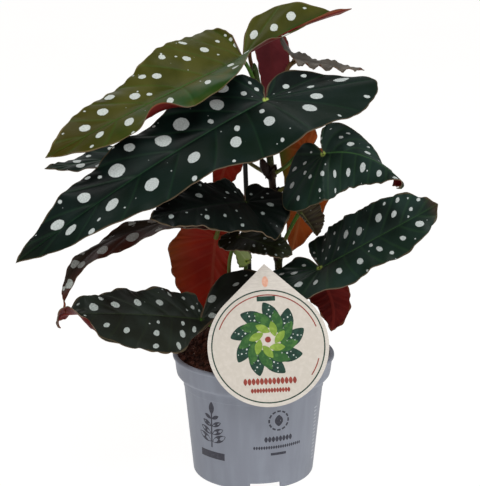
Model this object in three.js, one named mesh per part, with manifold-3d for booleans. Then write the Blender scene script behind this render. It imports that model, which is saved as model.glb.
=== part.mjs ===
// Potted polka dot begonia: a cane begonia with wing-shaped leaves, in a nursery pot.
// Millimetres, +Z up. The origin is the centre of the pot's base, on the surface it stands on.
// -Y is the front of the plant, where the label hangs.

import * as THREE from 'three'
import { mergeVertices } from 'three/addons/utils/BufferGeometryUtils.js'
import Module from 'manifold-3d'

const wasm = await Module()
wasm.setup()

// Driving dimensions of the pot and what stands in it
const POT_HEIGHT = 92
const RIM_RADIUS = 60
const BAND_RADIUS = 58.6
const BAND_DEPTH = 17
const NECK_RADIUS = 53
const FOOT_RADIUS = 45
const WALL = 1.8
const FOOT_RING = 4
const FOOT_HEIGHT = 5.2
const PAD_RADIUS = 14
const NOTCH_WIDTH = 23
const DRAIN_RADIUS = 4
const DRAIN_CIRCLE = 28
const SOIL_TOP = 88.5
const SOIL_BOTTOM = 9
const MOUND = { centre: [-14, 14], height: 25, spread: 23 }
const CANE_FOOT = 45
const SEAT = 0.3

// Driving dimensions of the label
const CARD_RADIUS = 43
const CARD_APEX = 58.5
const CARD_THICKNESS = 0.8
const CARD_LEAN = THREE.MathUtils.degToRad(12)
const CARD_TURN = THREE.MathUtils.degToRad(3)
const CARD_CENTRE = [10, 114]
const TONGUE_WIDTH = 7
const TONGUE_TIP = 64

// Driving dimensions of the plant
const CANE_RADIUS = 3
const STICK_RADIUS = 1.75
const STALK_RADIUS = 1.6
const LEAF_THICKNESS = 0.9

const TURN = 2 * Math.PI
const POT_SIDES = 48

function finish(color, roughness) {
  return new THREE.MeshStandardMaterial({ color, roughness, metalness: 0 })
}

const POT_PLASTIC = finish(0x8f98a3, 0.6)
const PEAT = finish(0x2b1a14, 1)
const STICK_PLASTIC = finish(0x14130f, 0.5)
const CARD = finish(0xe6ddcf, 0.55)
const CANE_SKIN = finish(0x3d4a24, 0.6)
const DARK_LEAF = finish(0x16302a, 0.4)
const OLIVE_LEAF = finish(0x5c6a24, 0.4)
const RED_LEAF = finish(0x8a2418, 0.5)
const PALE_LEAF = finish(0x9fb070, 0.5)

function vector(point) {
  return new THREE.Vector3(...point)
}

// A closed geometry as a solid: shared corners are merged and faces with no area are dropped
function solid(geometry) {
  const bare = new THREE.BufferGeometry()
  bare.setAttribute('position', geometry.attributes.position.clone())
  bare.setIndex(geometry.index)
  const merged = mergeVertices(bare, 1e-3)
  const corners = merged.index.array
  const faces = []
  for (let i = 0; i < corners.length; i += 3) {
    const [a, b, c] = corners.slice(i, i + 3)
    if (a !== b && b !== c && c !== a) faces.push(a, b, c)
  }
  const vertProperties = new Float32Array(merged.attributes.position.array)
  return new wasm.Manifold(new wasm.Mesh({ numProp: 3, vertProperties, triVerts: new Uint32Array(faces) }))
}

function piece(name, body, material) {
  const { vertProperties, triVerts } = body.getMesh()
  const geometry = new THREE.BufferGeometry()
  geometry.setAttribute('position', new THREE.BufferAttribute(vertProperties, 3))
  geometry.setIndex(new THREE.BufferAttribute(triVerts, 1))
  geometry.computeVertexNormals()
  const mesh = new THREE.Mesh(geometry, material)
  mesh.name = name
  return mesh
}

function turned(profile, sides) {
  const points = profile.map(([radius, height]) => new THREE.Vector2(radius, height))
  return solid(new THREE.LatheGeometry(points, sides).rotateX(Math.PI / 2))
}

// A round rod along a smooth route
function rod(route, radius, sides, step) {
  const path = new THREE.CatmullRomCurve3(route.map(vector))
  const ring = []
  for (let i = 0; i < sides; i++) {
    const angle = (TURN * i) / sides
    ring.push(new THREE.Vector2(radius * Math.cos(angle), radius * Math.sin(angle)))
  }
  const steps = Math.max(2, Math.ceil(path.getLength() / step))
  const shape = new THREE.Shape(ring)
  return solid(new THREE.ExtrudeGeometry(shape, { steps, extrudePath: path, bevelEnabled: false }))
}

function ball(centre, radii, sides) {
  const sphere = new THREE.SphereGeometry(1, sides, Math.ceil(sides / 2))
  return solid(sphere.scale(...radii).translate(...centre))
}

// Nursery pot

function pot() {
  const shoulder = POT_HEIGHT - BAND_DEPTH
  const profile = [
    [0, 0],
    [PAD_RADIUS, 0],
    [PAD_RADIUS + 1.5, FOOT_HEIGHT],
    [FOOT_RADIUS - FOOT_RING - 1, FOOT_HEIGHT],
    [FOOT_RADIUS - FOOT_RING, 0],
    [FOOT_RADIUS - 1, 0],
    [FOOT_RADIUS, 1.5],
    [NECK_RADIUS - 0.6, shoulder - 3],
    [NECK_RADIUS, shoulder - 1],
    [BAND_RADIUS - 3.2, shoulder],
    [BAND_RADIUS - 1.6, shoulder + 2],
    [BAND_RADIUS - 1, shoulder + 5],
    [BAND_RADIUS, POT_HEIGHT - 3],
    [RIM_RADIUS, POT_HEIGHT - 2],
    [RIM_RADIUS, POT_HEIGHT - 0.8],
    [RIM_RADIUS - 0.7, POT_HEIGHT],
    [BAND_RADIUS - WALL, POT_HEIGHT],
    [BAND_RADIUS - WALL - 1, shoulder + 5],
    [BAND_RADIUS - WALL - 2.4, shoulder + 2.6],
    [NECK_RADIUS - WALL - 0.4, shoulder + 1],
    [FOOT_RADIUS - 1, FOOT_HEIGHT + WALL],
    [0, FOOT_HEIGHT + WALL],
  ]
  let body = turned(profile, POT_SIDES)
  for (const angle of [0.5, 0.83, 0.17]) {
    // a notch in the foot ring, the first one at the front
    const notch = new THREE.BoxGeometry(NOTCH_WIDTH, FOOT_RING * 4, FOOT_HEIGHT * 2)
    notch.translate(0, FOOT_RADIUS - FOOT_RING / 2, 0).rotateZ(TURN * angle + 0.2)
    body = body.subtract(solid(notch))
  }
  for (let i = 0; i < 6; i++) {
    const angle = (TURN * (i + 0.5)) / 6
    const hole = new THREE.CylinderGeometry(DRAIN_RADIUS, DRAIN_RADIUS, 20, 12).rotateX(Math.PI / 2)
    hole.translate(DRAIN_CIRCLE * Math.cos(angle), DRAIN_CIRCLE * Math.sin(angle), FOOT_HEIGHT)
    body = body.subtract(solid(hole))
  }
  return body
}

// Canes, with a swelling at each node where a stalk leaves

const MAIN_ROUTE = [
  [16, 0, CANE_FOOT], [17, 0, 87], [19, 0, 132], [18, 0, 164], [17, 1, 188],
  [14, 3, 214], [11, 5, 243], [7, 5, 272], [2, 6, 294], [0, 6, 306],
]
const SHORT_ROUTE = [[-12, -4, CANE_FOOT], [-13, -4, 88], [-14, -4, 110], [-16, -6, 132]]
const MAIN_NODES = [
  [18, 0, 105], [19, 0, 134], [18, 0, 164], [17, 1, 190], [14.5, 3, 211],
  [13, 4, 225], [11, 5, 243], [8, 5, 262], [4.5, 5.5, 283],
]
const SHORT_NODES = [[-13.5, -4, 98], [-14.5, -4.2, 112], [-16, -6, 131]]
const BUD = [[13, 3, 222], [9, 1, 228], [6, 0, 236]]

function cane(route, nodes, radius, extra) {
  let body = rod(route, radius + extra, 8, 15)
  for (const node of nodes) {
    const girth = radius + 0.8 + extra
    body = body.add(ball(node, [girth, girth, 2.6 + extra], 6))
  }
  return body
}

function mainCane(extra) {
  const grown = cane(MAIN_ROUTE, MAIN_NODES, CANE_RADIUS, extra)
  return grown.add(rod(BUD, 1.9 + extra, 6, 5)).add(ball(BUD[2], [2.3 + extra, 2 + extra, 3.4 + extra], 8))
}

function shortCane(extra) {
  return cane(SHORT_ROUTE, SHORT_NODES, CANE_RADIUS - 0.4, extra)
}

// The stick leans a little and ends behind the great leaf
const STICK_ROUTE = [[2, 1, 20], [-7, 9, 252]]

function supportStick(extra) {
  const [foot, head] = STICK_ROUTE
  const middle = foot.map((value, axis) => (value + head[axis]) / 2)
  return rod([[foot[0], foot[1], foot[2] - extra], middle, head], STICK_RADIUS + extra, 10, 120)
}

// Label: a teardrop card in front of the rim, and a tongue that bends over the rim into the soil

function label(extra) {
  const spread = Math.acos(CARD_RADIUS / CARD_APEX)
  const outline = new THREE.Shape()
  outline.absarc(0, 0, CARD_RADIUS + extra, Math.PI / 2 + spread, TURN + Math.PI / 2 - spread, false)
  outline.lineTo(0, CARD_APEX + extra)
  outline.closePath()
  const depth = CARD_THICKNESS + 2 * extra
  const card = new THREE.ExtrudeGeometry(outline, { depth, bevelEnabled: false, curveSegments: 24 })
  card.translate(0, 0, -depth / 2)
  card.rotateZ(CARD_TURN).rotateX(Math.PI / 2 - CARD_LEAN)
  const [across, up] = CARD_CENTRE
  const front = cardDepth(up)
  card.translate(across, front, up)

  const top = POT_HEIGHT + SEAT
  const t = CARD_THICKNESS / 2 + extra
  const route = [[cardDepth(top + t), top + t], [-52.6, top + t], [-51.4, top + t - 1.2], [-44, TONGUE_TIP]]
  const strip = new THREE.Shape()
  const sides = [1, -1].map((side) => route.map(([y, z], i) => {
    const before = route[Math.max(i - 1, 0)]
    const after = route[Math.min(i + 1, route.length - 1)]
    const along = new THREE.Vector2(after[0] - before[0], after[1] - before[1]).normalize()
    return new THREE.Vector2(y - along.y * t * side, z + along.x * t * side)
  }))
  strip.setFromPoints([...sides[0], ...sides[1].reverse()])
  const width = TONGUE_WIDTH + 2 * extra
  const tongue = new THREE.ExtrudeGeometry(strip, { depth: width, bevelEnabled: false })
  tongue.translate(0, 0, -width / 2)
  // the strip is drawn in the plane of depth and height, and is as wide as the tongue
  tongue.rotateX(Math.PI / 2).rotateZ(Math.PI / 2)
  tongue.translate(across, 0, 0)
  return solid(card).add(solid(tongue))
}

// Depth of the leaning card's middle plane at a height: it rests on the front of the rim
function cardDepth(height) {
  const rest = -(RIM_RADIUS + SEAT + CARD_THICKNESS / 2 / Math.cos(CARD_LEAN))
  return rest + (height - POT_HEIGHT) * Math.tan(CARD_LEAN)
}

// Crumbled soil, with a hole for each thing that stands in it

function soil() {
  const shoulder = POT_HEIGHT - BAND_DEPTH
  const floor = FOOT_HEIGHT + WALL
  const neck = NECK_RADIUS - WALL - 0.4
  const foot = FOOT_RADIUS - 1
  const lowest = foot + ((neck - foot) * (SOIL_BOTTOM - floor)) / (shoulder + 1 - floor)
  const band = BAND_RADIUS - WALL
  const profile = [
    [0, SOIL_BOTTOM], [lowest - SEAT, SOIL_BOTTOM], [neck - SEAT, shoulder + 1 + SEAT],
    [band - 2.4 - SEAT, shoulder + 2.8 + SEAT], [band - 1 - SEAT, shoulder + 5.2],
    [band - 0.4 - SEAT, SOIL_TOP - 2], [band - 3, SOIL_TOP],
    [47, SOIL_TOP], [38, SOIL_TOP], [29, SOIL_TOP], [20, SOIL_TOP], [10, SOIL_TOP], [0, SOIL_TOP],
  ]
  const points = profile.map(([radius, height]) => new THREE.Vector2(radius, height))
  const lathe = new THREE.LatheGeometry(points, 36).rotateX(Math.PI / 2)
  const spots = lathe.attributes.position
  for (let i = 0; i < spots.count; i++) {
    const [x, y, z] = [spots.getX(i), spots.getY(i), spots.getZ(i)]
    const lump = Math.sin(x * 0.61 + 1) * Math.cos(y * 0.53) + 0.7 * Math.sin(x * 0.23 - y * 0.37)
    const off = Math.hypot(x - MOUND.centre[0], y - MOUND.centre[1]) / MOUND.spread
    const mound = MOUND.height * Math.exp(-(off ** 2) / 2)
    if (z > SOIL_TOP - 0.5) spots.setZ(i, z + 0.9 * lump + mound)
  }
  return solid(lathe)
    .subtract(mainCane(SEAT))
    .subtract(shortCane(SEAT))
    .subtract(supportStick(SEAT))
    .subtract(label(SEAT))
}

// Outline of a wing leaf laid flat, in leaf lengths: x runs along the midrib from the stalk to
// the tip, y across. The broad half reaches back in an ear beside the stalk.
const BROAD_EDGE = [
  [0, 0], [-0.035, -0.07], [-0.075, -0.12], [-0.14, -0.15], [-0.22, -0.115], [-0.28, -0.02],
  [-0.3, 0.1], [-0.26, 0.215], [-0.15, 0.295], [0, 0.32], [0.15, 0.29], [0.32, 0.24], [0.5, 0.2],
  [0.7, 0.155], [0.85, 0.1], [0.94, 0.045], [1, 0],
]
const NARROW_EDGE = [
  [0, 0], [-0.01, -0.05], [-0.025, -0.1], [-0.01, -0.165], [0.05, -0.215], [0.17, -0.245],
  [0.34, -0.24], [0.52, -0.215], [0.7, -0.175], [0.85, -0.11], [0.94, -0.05], [1, 0],
]

// Each half is ruled by rays from the midrib to the edge. The first ones fan out from the stalk
// and end at this share of the edge.
const BROAD_FAN = 0.45
const NARROW_FAN = 0.28

// How a leaf is set, where its own row doesn't say otherwise. Pairs are broad half, narrow half.
// wide scales a half across, fold lifts it from the midrib in degrees at the stalk and at the
// tip, cup rounds it over, pinch narrows the broad half by the stalk, shoulder pushes the narrow
// half back there, hip widens a half by the stalk and blunt by the tip, ear, swing, taper, lift
// and sag set the back ear's length, turn, narrowing, rise and droop, reach how far the pinch
// goes, twist how late the face turns, and wave, waves and phase ruffle the edge.
const PLAIN = {
  wide: [1, 1], fold: [[0, 0], [0, 0]], hand: 1, cup: 0, pinch: 0, reach: 0.35, shoulder: 0,
  blunt: [0, 0], hip: [0, 0], ear: 1, swing: 0, taper: 0, lift: 0, sag: 0, twist: 1,
  wave: [0.02, 0.02], waves: [4, 4], phase: [0, 0.3], ribs: 11, fans: [8, 4], columns: 2,
}

function edgePoints(half, leaf) {
  const share = half === 0 ? BROAD_FAN : NARROW_FAN
  const outline = (half === 0 ? BROAD_EDGE : NARROW_EDGE).map(([x, y]) => {
    const hip = leaf.hip[half] * THREE.MathUtils.clamp(1 - x, 0, 1) ** 4
    const full = y * (1 + leaf.blunt[half] * Math.max(0, x) ** 4 + hip)
    if (half === 1) return new THREE.Vector2(x + leaf.shoulder * full * (1 - x) ** 3, full)
    const pinch = y > 0 ? leaf.pinch * THREE.MathUtils.clamp(1 - x / leaf.reach, 0, 1) : 0
    const slim = full * (1 - pinch)
    if (x >= 0) return new THREE.Vector2(x, slim)
    const swung = slim + leaf.swing * x
    const back = Math.min(1, -x / 0.3)
    return new THREE.Vector2(x * leaf.ear, swung - (swung - 0.08) * leaf.taper * back)
  })
  const curve = new THREE.SplineCurve(outline)
  const fan = leaf.fans[half]
  const rays = []
  for (let k = 0; k <= fan + leaf.ribs; k++) {
    const along = Math.max(0, k - fan) / leaf.ribs
    const t = k < fan ? (share * k) / fan : share + (1 - share) * along
    rays.push({ t, start: along ** 1.1, end: curve.getPointAt(t) })
  }
  return rays
}

// Bends a flat point of one half onto the leaf's curved midrib
function bend(leaf, half, x, y, t, v) {
  const rib = leaf.curve
  const w = THREE.MathUtils.clamp(x, 0, 1)
  const along = rib.getTangent(w)
  const face = vector(leaf.face[0]).lerp(vector(leaf.face[1]), w ** leaf.twist)
  face.addScaledVector(along, -face.dot(along)).normalize()
  const side = face.clone().cross(along).multiplyScalar(leaf.hand)
  const across = y * leaf.length * leaf.wide[half]
  const back = Math.max(0, -x) * leaf.length
  const [foldStalk, foldTip] = leaf.fold[half]
  const fold = THREE.MathUtils.degToRad(foldTip + (foldStalk - foldTip) * (1 - w) ** 3)
  const ruffle = Math.sin(TURN * (leaf.waves[half] * t + leaf.phase[half])) * Math.sqrt(Math.sin(Math.PI * t))
  const rise = Math.abs(across) * Math.sin(fold) - (leaf.cup * across ** 2) / leaf.length
    + leaf.lift * back - (leaf.sag * back ** 2) / leaf.length
    + leaf.wave[half] * leaf.length * v ** 2 * ruffle
  return rib.getPoint(w)
    .addScaledVector(along, -back)
    .addScaledVector(side, across * Math.cos(fold))
    .addScaledVector(face, rise)
}

// The blade's middle surface, as loose triangles that face the upper side
function bladeFaces(leaf) {
  const faces = []
  for (const half of [0, 1]) {
    const rows = edgePoints(half, leaf).map(({ t, start, end }) => {
      const row = []
      for (let j = 0; j <= leaf.columns; j++) {
        const v = j / leaf.columns
        row.push(bend(leaf, half, start + (end.x - start) * v, end.y * v, t, v))
      }
      return row
    })
    const upward = (half === 0) === (leaf.hand > 0)
    for (let i = 0; i + 1 < rows.length; i++) {
      for (let j = 0; j < leaf.columns; j++) {
        const [a, b, c, d] = [rows[i][j], rows[i + 1][j], rows[i + 1][j + 1], rows[i][j + 1]]
        const pair = upward ? [[a, c, b], [a, d, c]] : [[a, b, c], [a, c, d]]
        faces.push(...pair)
      }
    }
  }
  return faces
}

// Thickens a surface to both sides: both faces are split alike and a wall runs round the edge
function thicken(faces, thickness) {
  const sheet = new THREE.BufferGeometry().setFromPoints(faces.flat())
  const merged = mergeVertices(sheet, 1e-3)
  merged.computeVertexNormals()
  const place = merged.attributes.position
  const normal = merged.attributes.normal
  const corner = (index, sign) => new THREE.Vector3().fromBufferAttribute(place, index)
    .addScaledVector(new THREE.Vector3().fromBufferAttribute(normal, index), (sign * thickness) / 2)
  const edges = new Map()
  const points = []
  const index = merged.index.array
  for (let i = 0; i < index.length; i += 3) {
    const [a, b, c] = index.slice(i, i + 3)
    if (a === b || b === c || c === a) continue
    points.push(corner(a, 1), corner(b, 1), corner(c, 1), corner(a, -1), corner(c, -1), corner(b, -1))
    for (const [from, to] of [[a, b], [b, c], [c, a]]) edges.set(`${from} ${to}`, [from, to])
  }
  for (const [from, to] of edges.values()) {
    if (edges.has(`${to} ${from}`)) continue
    points.push(corner(to, 1), corner(from, 1), corner(from, -1))
    points.push(corner(to, 1), corner(from, -1), corner(to, -1))
  }
  const closed = new THREE.BufferGeometry().setFromPoints(points)
  return solid(mergeVertices(closed, 1e-4))
}

// Leaves. rib is the midrib's cubic curve, face the upper side's direction at the stalk and at
// the tip, hand 1 where the broad half is on the left seen from the stalk, and stalk the way
// from the blade to its cane.
const LEAVES = {
  leaf_top: {
    rib: [[-8, -5, 312], [-45, -25, 297], [-86, -45, 280], [-143, -60, 251]],
    face: [[-0.2, -0.45, 0.87], [-0.3, -0.6, 0.7]], wide: [0.69, 0.9], fold: [[45, 2], [19, 13]],
    ear: 1.96, swing: 0.94, taper: 0.89, pinch: 0.75, reach: 0.175, hip: [0.74, 0.47], blunt: [0.8, 0],
    cup: 0.3, lift: 0.126, sag: 0.262, wave: [0.015, 0.031],
    waves: [6.6, 2.4], phase: [0.97, 0.11], stalk: [[-5, 1, 305], [-1, 5, 296], [3, 5.5, 286]],
    material: OLIVE_LEAF, ribs: 16, fans: [10, 5],
  },
  leaf_great: {
    rib: [[8, -20, 284], [-45, -40, 259], [-99, -65, 229], [-163, -80, 182]],
    face: [[-0.25, -0.55, 0.8], [-0.3, -0.7, 0.6]], wide: [0.9, 0.6], fold: [[12, 12], [20, 20]],
    ear: 1.2, swing: -0.2, taper: 0.35, cup: 0.3, lift: -0.18, sag: 0.2, wave: [0.018, 0.018],
    waves: [5, 5],
    stalk: [[11, -12, 270], [11, -2, 256], [11, 5, 244]], material: DARK_LEAF, ribs: 16, fans: [10, 5],
  },
  leaf_back_left: {
    rib: [[-10, 35, 252], [-54, 25, 241], [-104, 10, 235], [-151, 0, 231]],
    face: [[-0.2, -0.5, 0.8], [-0.2, -0.3, 0.9]], wide: [0.6, 0.6], ear: 0.5,
    stalk: [[-5, 33, 242], [4, 18, 238], [11, 5, 241]], material: DARK_LEAF,
  },
  leaf_right: {
    rib: [[48, -38, 249], [67, -46, 255], [89, -63, 253], [108, -86, 229]],
    face: [[-0.1, -0.8, 0.5], [0.5, -0.4, 0.7]], wide: [1.2, 0.89], hand: -1, ear: 1.53, swing: -0.53,
    taper: 0.13, pinch: 0.14, reach: 0.39, hip: [0.3, 0.43], blunt: [-0.7, -0.7], shoulder: -0.22,
    cup: 0.37, lift: -0.25, sag: 0.25, fold: [[16, -50], [40, -49]], wave: [0.013, 0.02], phase: [0.64, 0.3],
    stalk: [[43, -25, 236], [30, -8, 222], [15, 3, 212]], material: DARK_LEAF,
  },
  leaf_low_right: {
    rib: [[48, -15, 160], [71, -33, 179], [98, -47, 198], [128, -45, 215]],
    face: [[0.2, -0.6, 0.75], [0.3, -0.6, 0.7]], wide: [1.1, 1.02], hand: -1, hip: [0, 0.4],
    blunt: [0.9, 0.9], shoulder: 0.35, ear: 1.3, swing: -0.15, taper: 0.4,
    lift: 0.5, fold: [[20, 0], [0, 15]], wave: [0.03, 0.006], waves: [6, 6],
    stalk: [[41, -9, 149], [31, -3, 141], [19, 0, 134]], material: DARK_LEAF,
  },
  leaf_middle: {
    rib: [[-6, -30, 213], [-24, -50, 217], [-51, -72, 218], [-71, -80, 213]],
    face: [[0, -0.65, 0.75], [-0.3, -0.6, 0.7]], wide: [1.45, 1], fold: [[0, 0], [10, 10]], ear: 1.2,
    taper: 0.6, lift: 0.47, wave: [0.03, 0.03],
    stalk: [[1, -18, 202], [10, -6, 193], [17, 1, 190]], material: DARK_LEAF,
  },
  leaf_arching: {
    rib: [[-28, 0, 197], [-74, -20, 200], [-146, -60, 184], [-128, -84, 147]],
    face: [[0, -0.35, 0.95], [0.6, 0.6, 0.3]], twist: 10, wide: [0.42, 0.2], blunt: [-0.8, -0.8],
    fold: [[12, 0], [12, 0]], ear: 0.35,
    stalk: [[-20, 2, 192], [0, 4, 197], [14, 3, 208]], material: DARK_LEAF,
  },
  leaf_low_left: {
    rib: [[-38, -36, 128], [-66, -54, 137], [-107, -75, 146], [-143, -81, 145]],
    face: [[0, -0.7, 0.6], [-0.1, -0.7, 0.7]], wide: [1.35, 0.75], fold: [[0, 16], [0, 0]], pinch: 0.85,
    ear: 1.25, swing: 0.8, taper: 0.3, lift: 0.7, wave: [0.03, 0.03], waves: [5, 5],
    stalk: [[-31, -31, 122], [-21, -14, 116], [-14.5, -4.2, 112]], material: DARK_LEAF,
  },
  leaf_small: {
    rib: [[-11, -20, 185], [1, -30, 185], [15, -38, 182], [27, -40, 177]],
    face: [[0, -0.6, 0.8], [0, -0.6, 0.8]], wide: [1.05, 1.05], hand: -1, blunt: [0.9, 0.9],
    stalk: [[-15, -13, 175], [-18, -4, 157], [-16, -6, 131]], material: DARK_LEAF, ribs: 7, fans: [6, 3],
  },
  leaf_hanging_left: {
    rib: [[-28, 20, 175], [-30, 24, 158], [-31, 24, 134], [-33, 18, 110]],
    face: [[-0.1, 1, 0.2], [-0.1, 1, -0.1]], wide: [2.3, 0.8], fold: [[0, 0], [-10, -20]],
    hip: [-0.42, 0], blunt: [0.3, 0.3], ear: 0.6,
    stalk: [[-22, 15, 187], [-3, 13, 190], [17, 1, 189]], material: RED_LEAF,
  },
  leaf_hanging_top: {
    rib: [[12, 40, 322], [14, 48, 301], [15, 52, 280], [12, 45, 258]],
    face: [[0.2, 0.9, 0.3], [0.2, 0.9, 0.3]], wide: [0.7, 0.84], ear: 0.6,
    stalk: [[3, 34, 324], [-3, 20, 312], [0, 10, 298], [4.5, 5.5, 284]], material: RED_LEAF,
    ribs: 7, fans: [6, 3],
  },
  leaf_hanging_back: {
    rib: [[-18, 52, 240], [-19, 56, 228], [-22, 56, 215], [-28, 52, 202]],
    face: [[0, 1, 0.2], [0, 1, 0]], wide: [1.3, 1.4],
    stalk: [[-16, 47, 237], [-3, 27, 229], [13, 4, 224]], material: RED_LEAF, ribs: 7, fans: [6, 3],
  },
  leaf_crinkled: {
    rib: [[29, 23, 307], [43, 23, 304], [60, 22, 302], [80, 21, 299]],
    face: [[0, -0.15, 1], [0, -0.15, 1]], wide: [0.9, 0.9], lift: 0.9, wave: [0.03, 0.04],
    waves: [4.3, 6], ear: 0.8, stalk: [[24, 20, 299], [16, 12, 276], [8, 5, 262]], material: DARK_LEAF,
  },
  leaf_hanging_right: {
    rib: [[38, 25, 239], [39, 28, 212], [35, 28, 185], [28, 24, 162]],
    face: [[0.1, 1, 0.2], [0.1, 1, 0]], wide: [0.78, 1], hip: [0, 0.7],
    stalk: [[33, 17, 238], [23, 9, 230], [13, 4, 225]], material: RED_LEAF,
  },
  leaf_young: {
    rib: [[34, 0, 199], [38, 4, 192], [43, 9, 186], [47, 12, 177]],
    face: [[0.4, -0.9, 0.2], [0.4, -0.9, 0.2]], wide: [0.3, 2.2], hand: -1, blunt: [0.7, 0.7],
    stalk: [[31, 1, 194], [24, 1, 180], [18, 0, 166]], material: DARK_LEAF, ribs: 7, fans: [6, 3],
  },
  leaf_hanging_low: {
    rib: [[53, 15, 139], [59, 15, 129], [62, 12, 119], [58, 8, 105]],
    face: [[0, 1, 0.3], [0, 1, 0]], wide: [1.6, 1.7],
    stalk: [[46, 10, 140], [33, 5, 125], [18, 0, 106]], material: RED_LEAF, ribs: 7, fans: [6, 3],
  },
  leaf_pale: {
    rib: [[-5, -3, 162], [-8, -4, 167], [-12, -4, 171], [-15, -3, 177]],
    face: [[0.1, -1, 0.2], [0.1, -1, 0.2]], wide: [1.2, 1.2], ear: 0.5,
    stalk: [[-6, -1, 153], [-9, 0, 134], [-14.5, -4.2, 113]], material: PALE_LEAF, ribs: 7, fans: [6, 3],
  },
}

function leafBody(row) {
  const leaf = { ...PLAIN, ...row }
  leaf.curve = new THREE.CubicBezierCurve3(...leaf.rib.map(vector))
  leaf.length = leaf.curve.getLength()
  const blade = thicken(bladeFaces(leaf), LEAF_THICKNESS)
  const root = leaf.curve.getPoint(1.5 / leaf.length).toArray()
  const stalk = rod([root, ...leaf.stalk], STALK_RADIUS, 6, 7)
  return blade.add(stalk).subtract(mainCane(SEAT)).subtract(shortCane(SEAT))
}

const plant = new THREE.Group()
plant.add(piece('pot', pot(), POT_PLASTIC))
plant.add(piece('soil', soil(), PEAT))
plant.add(piece('support_stick', supportStick(0), STICK_PLASTIC))
plant.add(piece('plant_label', label(0), CARD))
plant.add(piece('main_cane', mainCane(0), CANE_SKIN))
plant.add(piece('short_cane', shortCane(0), CANE_SKIN))
for (const [name, row] of Object.entries(LEAVES)) {
  plant.add(piece(name, leafBody(row), row.material))
}

export default plant
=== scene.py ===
# %% [markdown]
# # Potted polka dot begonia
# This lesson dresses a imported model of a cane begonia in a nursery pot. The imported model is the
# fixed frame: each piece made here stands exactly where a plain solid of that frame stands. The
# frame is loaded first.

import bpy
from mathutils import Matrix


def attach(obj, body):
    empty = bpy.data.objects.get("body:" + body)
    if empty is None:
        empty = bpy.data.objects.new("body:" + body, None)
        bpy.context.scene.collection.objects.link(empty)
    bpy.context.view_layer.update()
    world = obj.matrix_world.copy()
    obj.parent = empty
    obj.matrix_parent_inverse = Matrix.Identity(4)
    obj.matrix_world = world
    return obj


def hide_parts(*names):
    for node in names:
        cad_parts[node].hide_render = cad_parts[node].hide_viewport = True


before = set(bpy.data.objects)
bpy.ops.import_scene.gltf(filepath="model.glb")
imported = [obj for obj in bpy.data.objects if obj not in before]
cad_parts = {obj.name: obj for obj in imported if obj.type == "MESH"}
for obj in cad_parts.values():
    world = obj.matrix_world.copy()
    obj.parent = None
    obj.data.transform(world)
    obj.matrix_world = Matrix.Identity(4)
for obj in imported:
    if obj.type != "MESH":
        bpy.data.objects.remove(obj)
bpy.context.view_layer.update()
print("solids in the frame:", len(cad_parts))

# %% [markdown]
# ## Helpers
# Blender counts in metres, and the sizes of a plant are easier to read in millimetres, so `MM`
# turns one into the other. Most operators act on all that is selected, and the frame arrives
# selected, so `primitive` lets go of everything before it adds a shape. `editing` opens a mesh in
# edit mode and closes it again. `settle` moves a piece's place into its mesh, names it, lets it ride
# on the frame and hides the plain solids that it stands for.

# %% Helpers for every piece
import math
from contextlib import contextmanager

import bpy
import numpy as np
from mathutils import Euler, Matrix, Vector, noise

MM = 0.001
MM_SCALE = Matrix.Scale(MM, 4)
TURN = 2 * math.pi


def deselect():
    if bpy.context.mode != "OBJECT":
        bpy.ops.object.mode_set(mode="OBJECT")
    bpy.ops.object.select_all(action="DESELECT")


def pick(*pieces):
    deselect()
    for piece in pieces:
        piece.select_set(True)
    bpy.context.view_layer.objects.active = pieces[0]
    return pieces[0]


def primitive(kind, **settings):
    """Adds one of Blender's basic shapes and gives it back."""
    deselect()
    getattr(bpy.ops.mesh, f"primitive_{kind}_add")(**settings)
    return bpy.context.object


@contextmanager
def editing(whole=True):
    """Edit mode, with the whole mesh selected or else what was picked before."""
    bpy.ops.object.mode_set(mode="EDIT")
    if whole:
        bpy.ops.mesh.select_all(action="SELECT")
    yield
    bpy.ops.object.mode_set(mode="OBJECT")


def join(pieces):
    pick(*pieces)
    if len(pieces) > 1:
        bpy.ops.object.join()
    return bpy.context.object


def apply_modifier(piece, kind, **settings):
    pick(piece)
    modifier = piece.modifiers.new(kind.title(), kind)
    for key, value in settings.items():
        setattr(modifier, key, value)
    bpy.ops.object.modifier_apply(modifier=modifier.name)


def smooth(piece, degrees):
    """Shades a piece smooth, apart from the edges that are sharper than the angle."""
    pick(piece)
    bpy.ops.object.shade_smooth_by_angle(angle=math.radians(degrees))


def angles_round(count, shift=0.0):
    """Evenly spaced angles round a circle, all turned by the same share of a step."""
    return [TURN * (number + shift) / count for number in range(count)]


def settle(piece, name, replaces=()):
    pick(piece)
    bpy.ops.object.transform_apply(location=True, rotation=True, scale=True)
    piece.name = piece.data.name = name
    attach(piece, "root")
    if replaces:
        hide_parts(*replaces)
    triangles = sum(len(face.vertices) - 2 for face in piece.data.polygons)
    print(f"{name}: {triangles} triangles")
    return piece


# %% [markdown]
# ## Camera
# A product photographer stands a little over a metre from the plant and looks slightly down on it
# with a short telephoto lens. The distance matters more than the crop, because the leaves that reach
# forward look larger from close by. The lens is worked out from its focal length in pixels.

# %% Camera
EYE = (-10, -1138, 471)
TARGET = (-10, 0, 175)
PICTURE_HEIGHT = 486
FOCAL_PIXELS = 1610
SENSOR = 36.0

deselect()
bpy.ops.object.camera_add(location=[value * MM for value in EYE])
camera = bpy.context.object
camera.data.sensor_fit = "VERTICAL"
camera.data.sensor_height = SENSOR
camera.data.lens = FOCAL_PIXELS / PICTURE_HEIGHT * SENSOR
down = math.atan2(EYE[2] - TARGET[2], TARGET[1] - EYE[1])
camera.rotation_euler = (math.pi / 2 - down, 0, 0)
bpy.context.scene.camera = camera
print(f"lens {camera.data.lens:.0f} mm, looking down {math.degrees(down):.1f} degrees")
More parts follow.
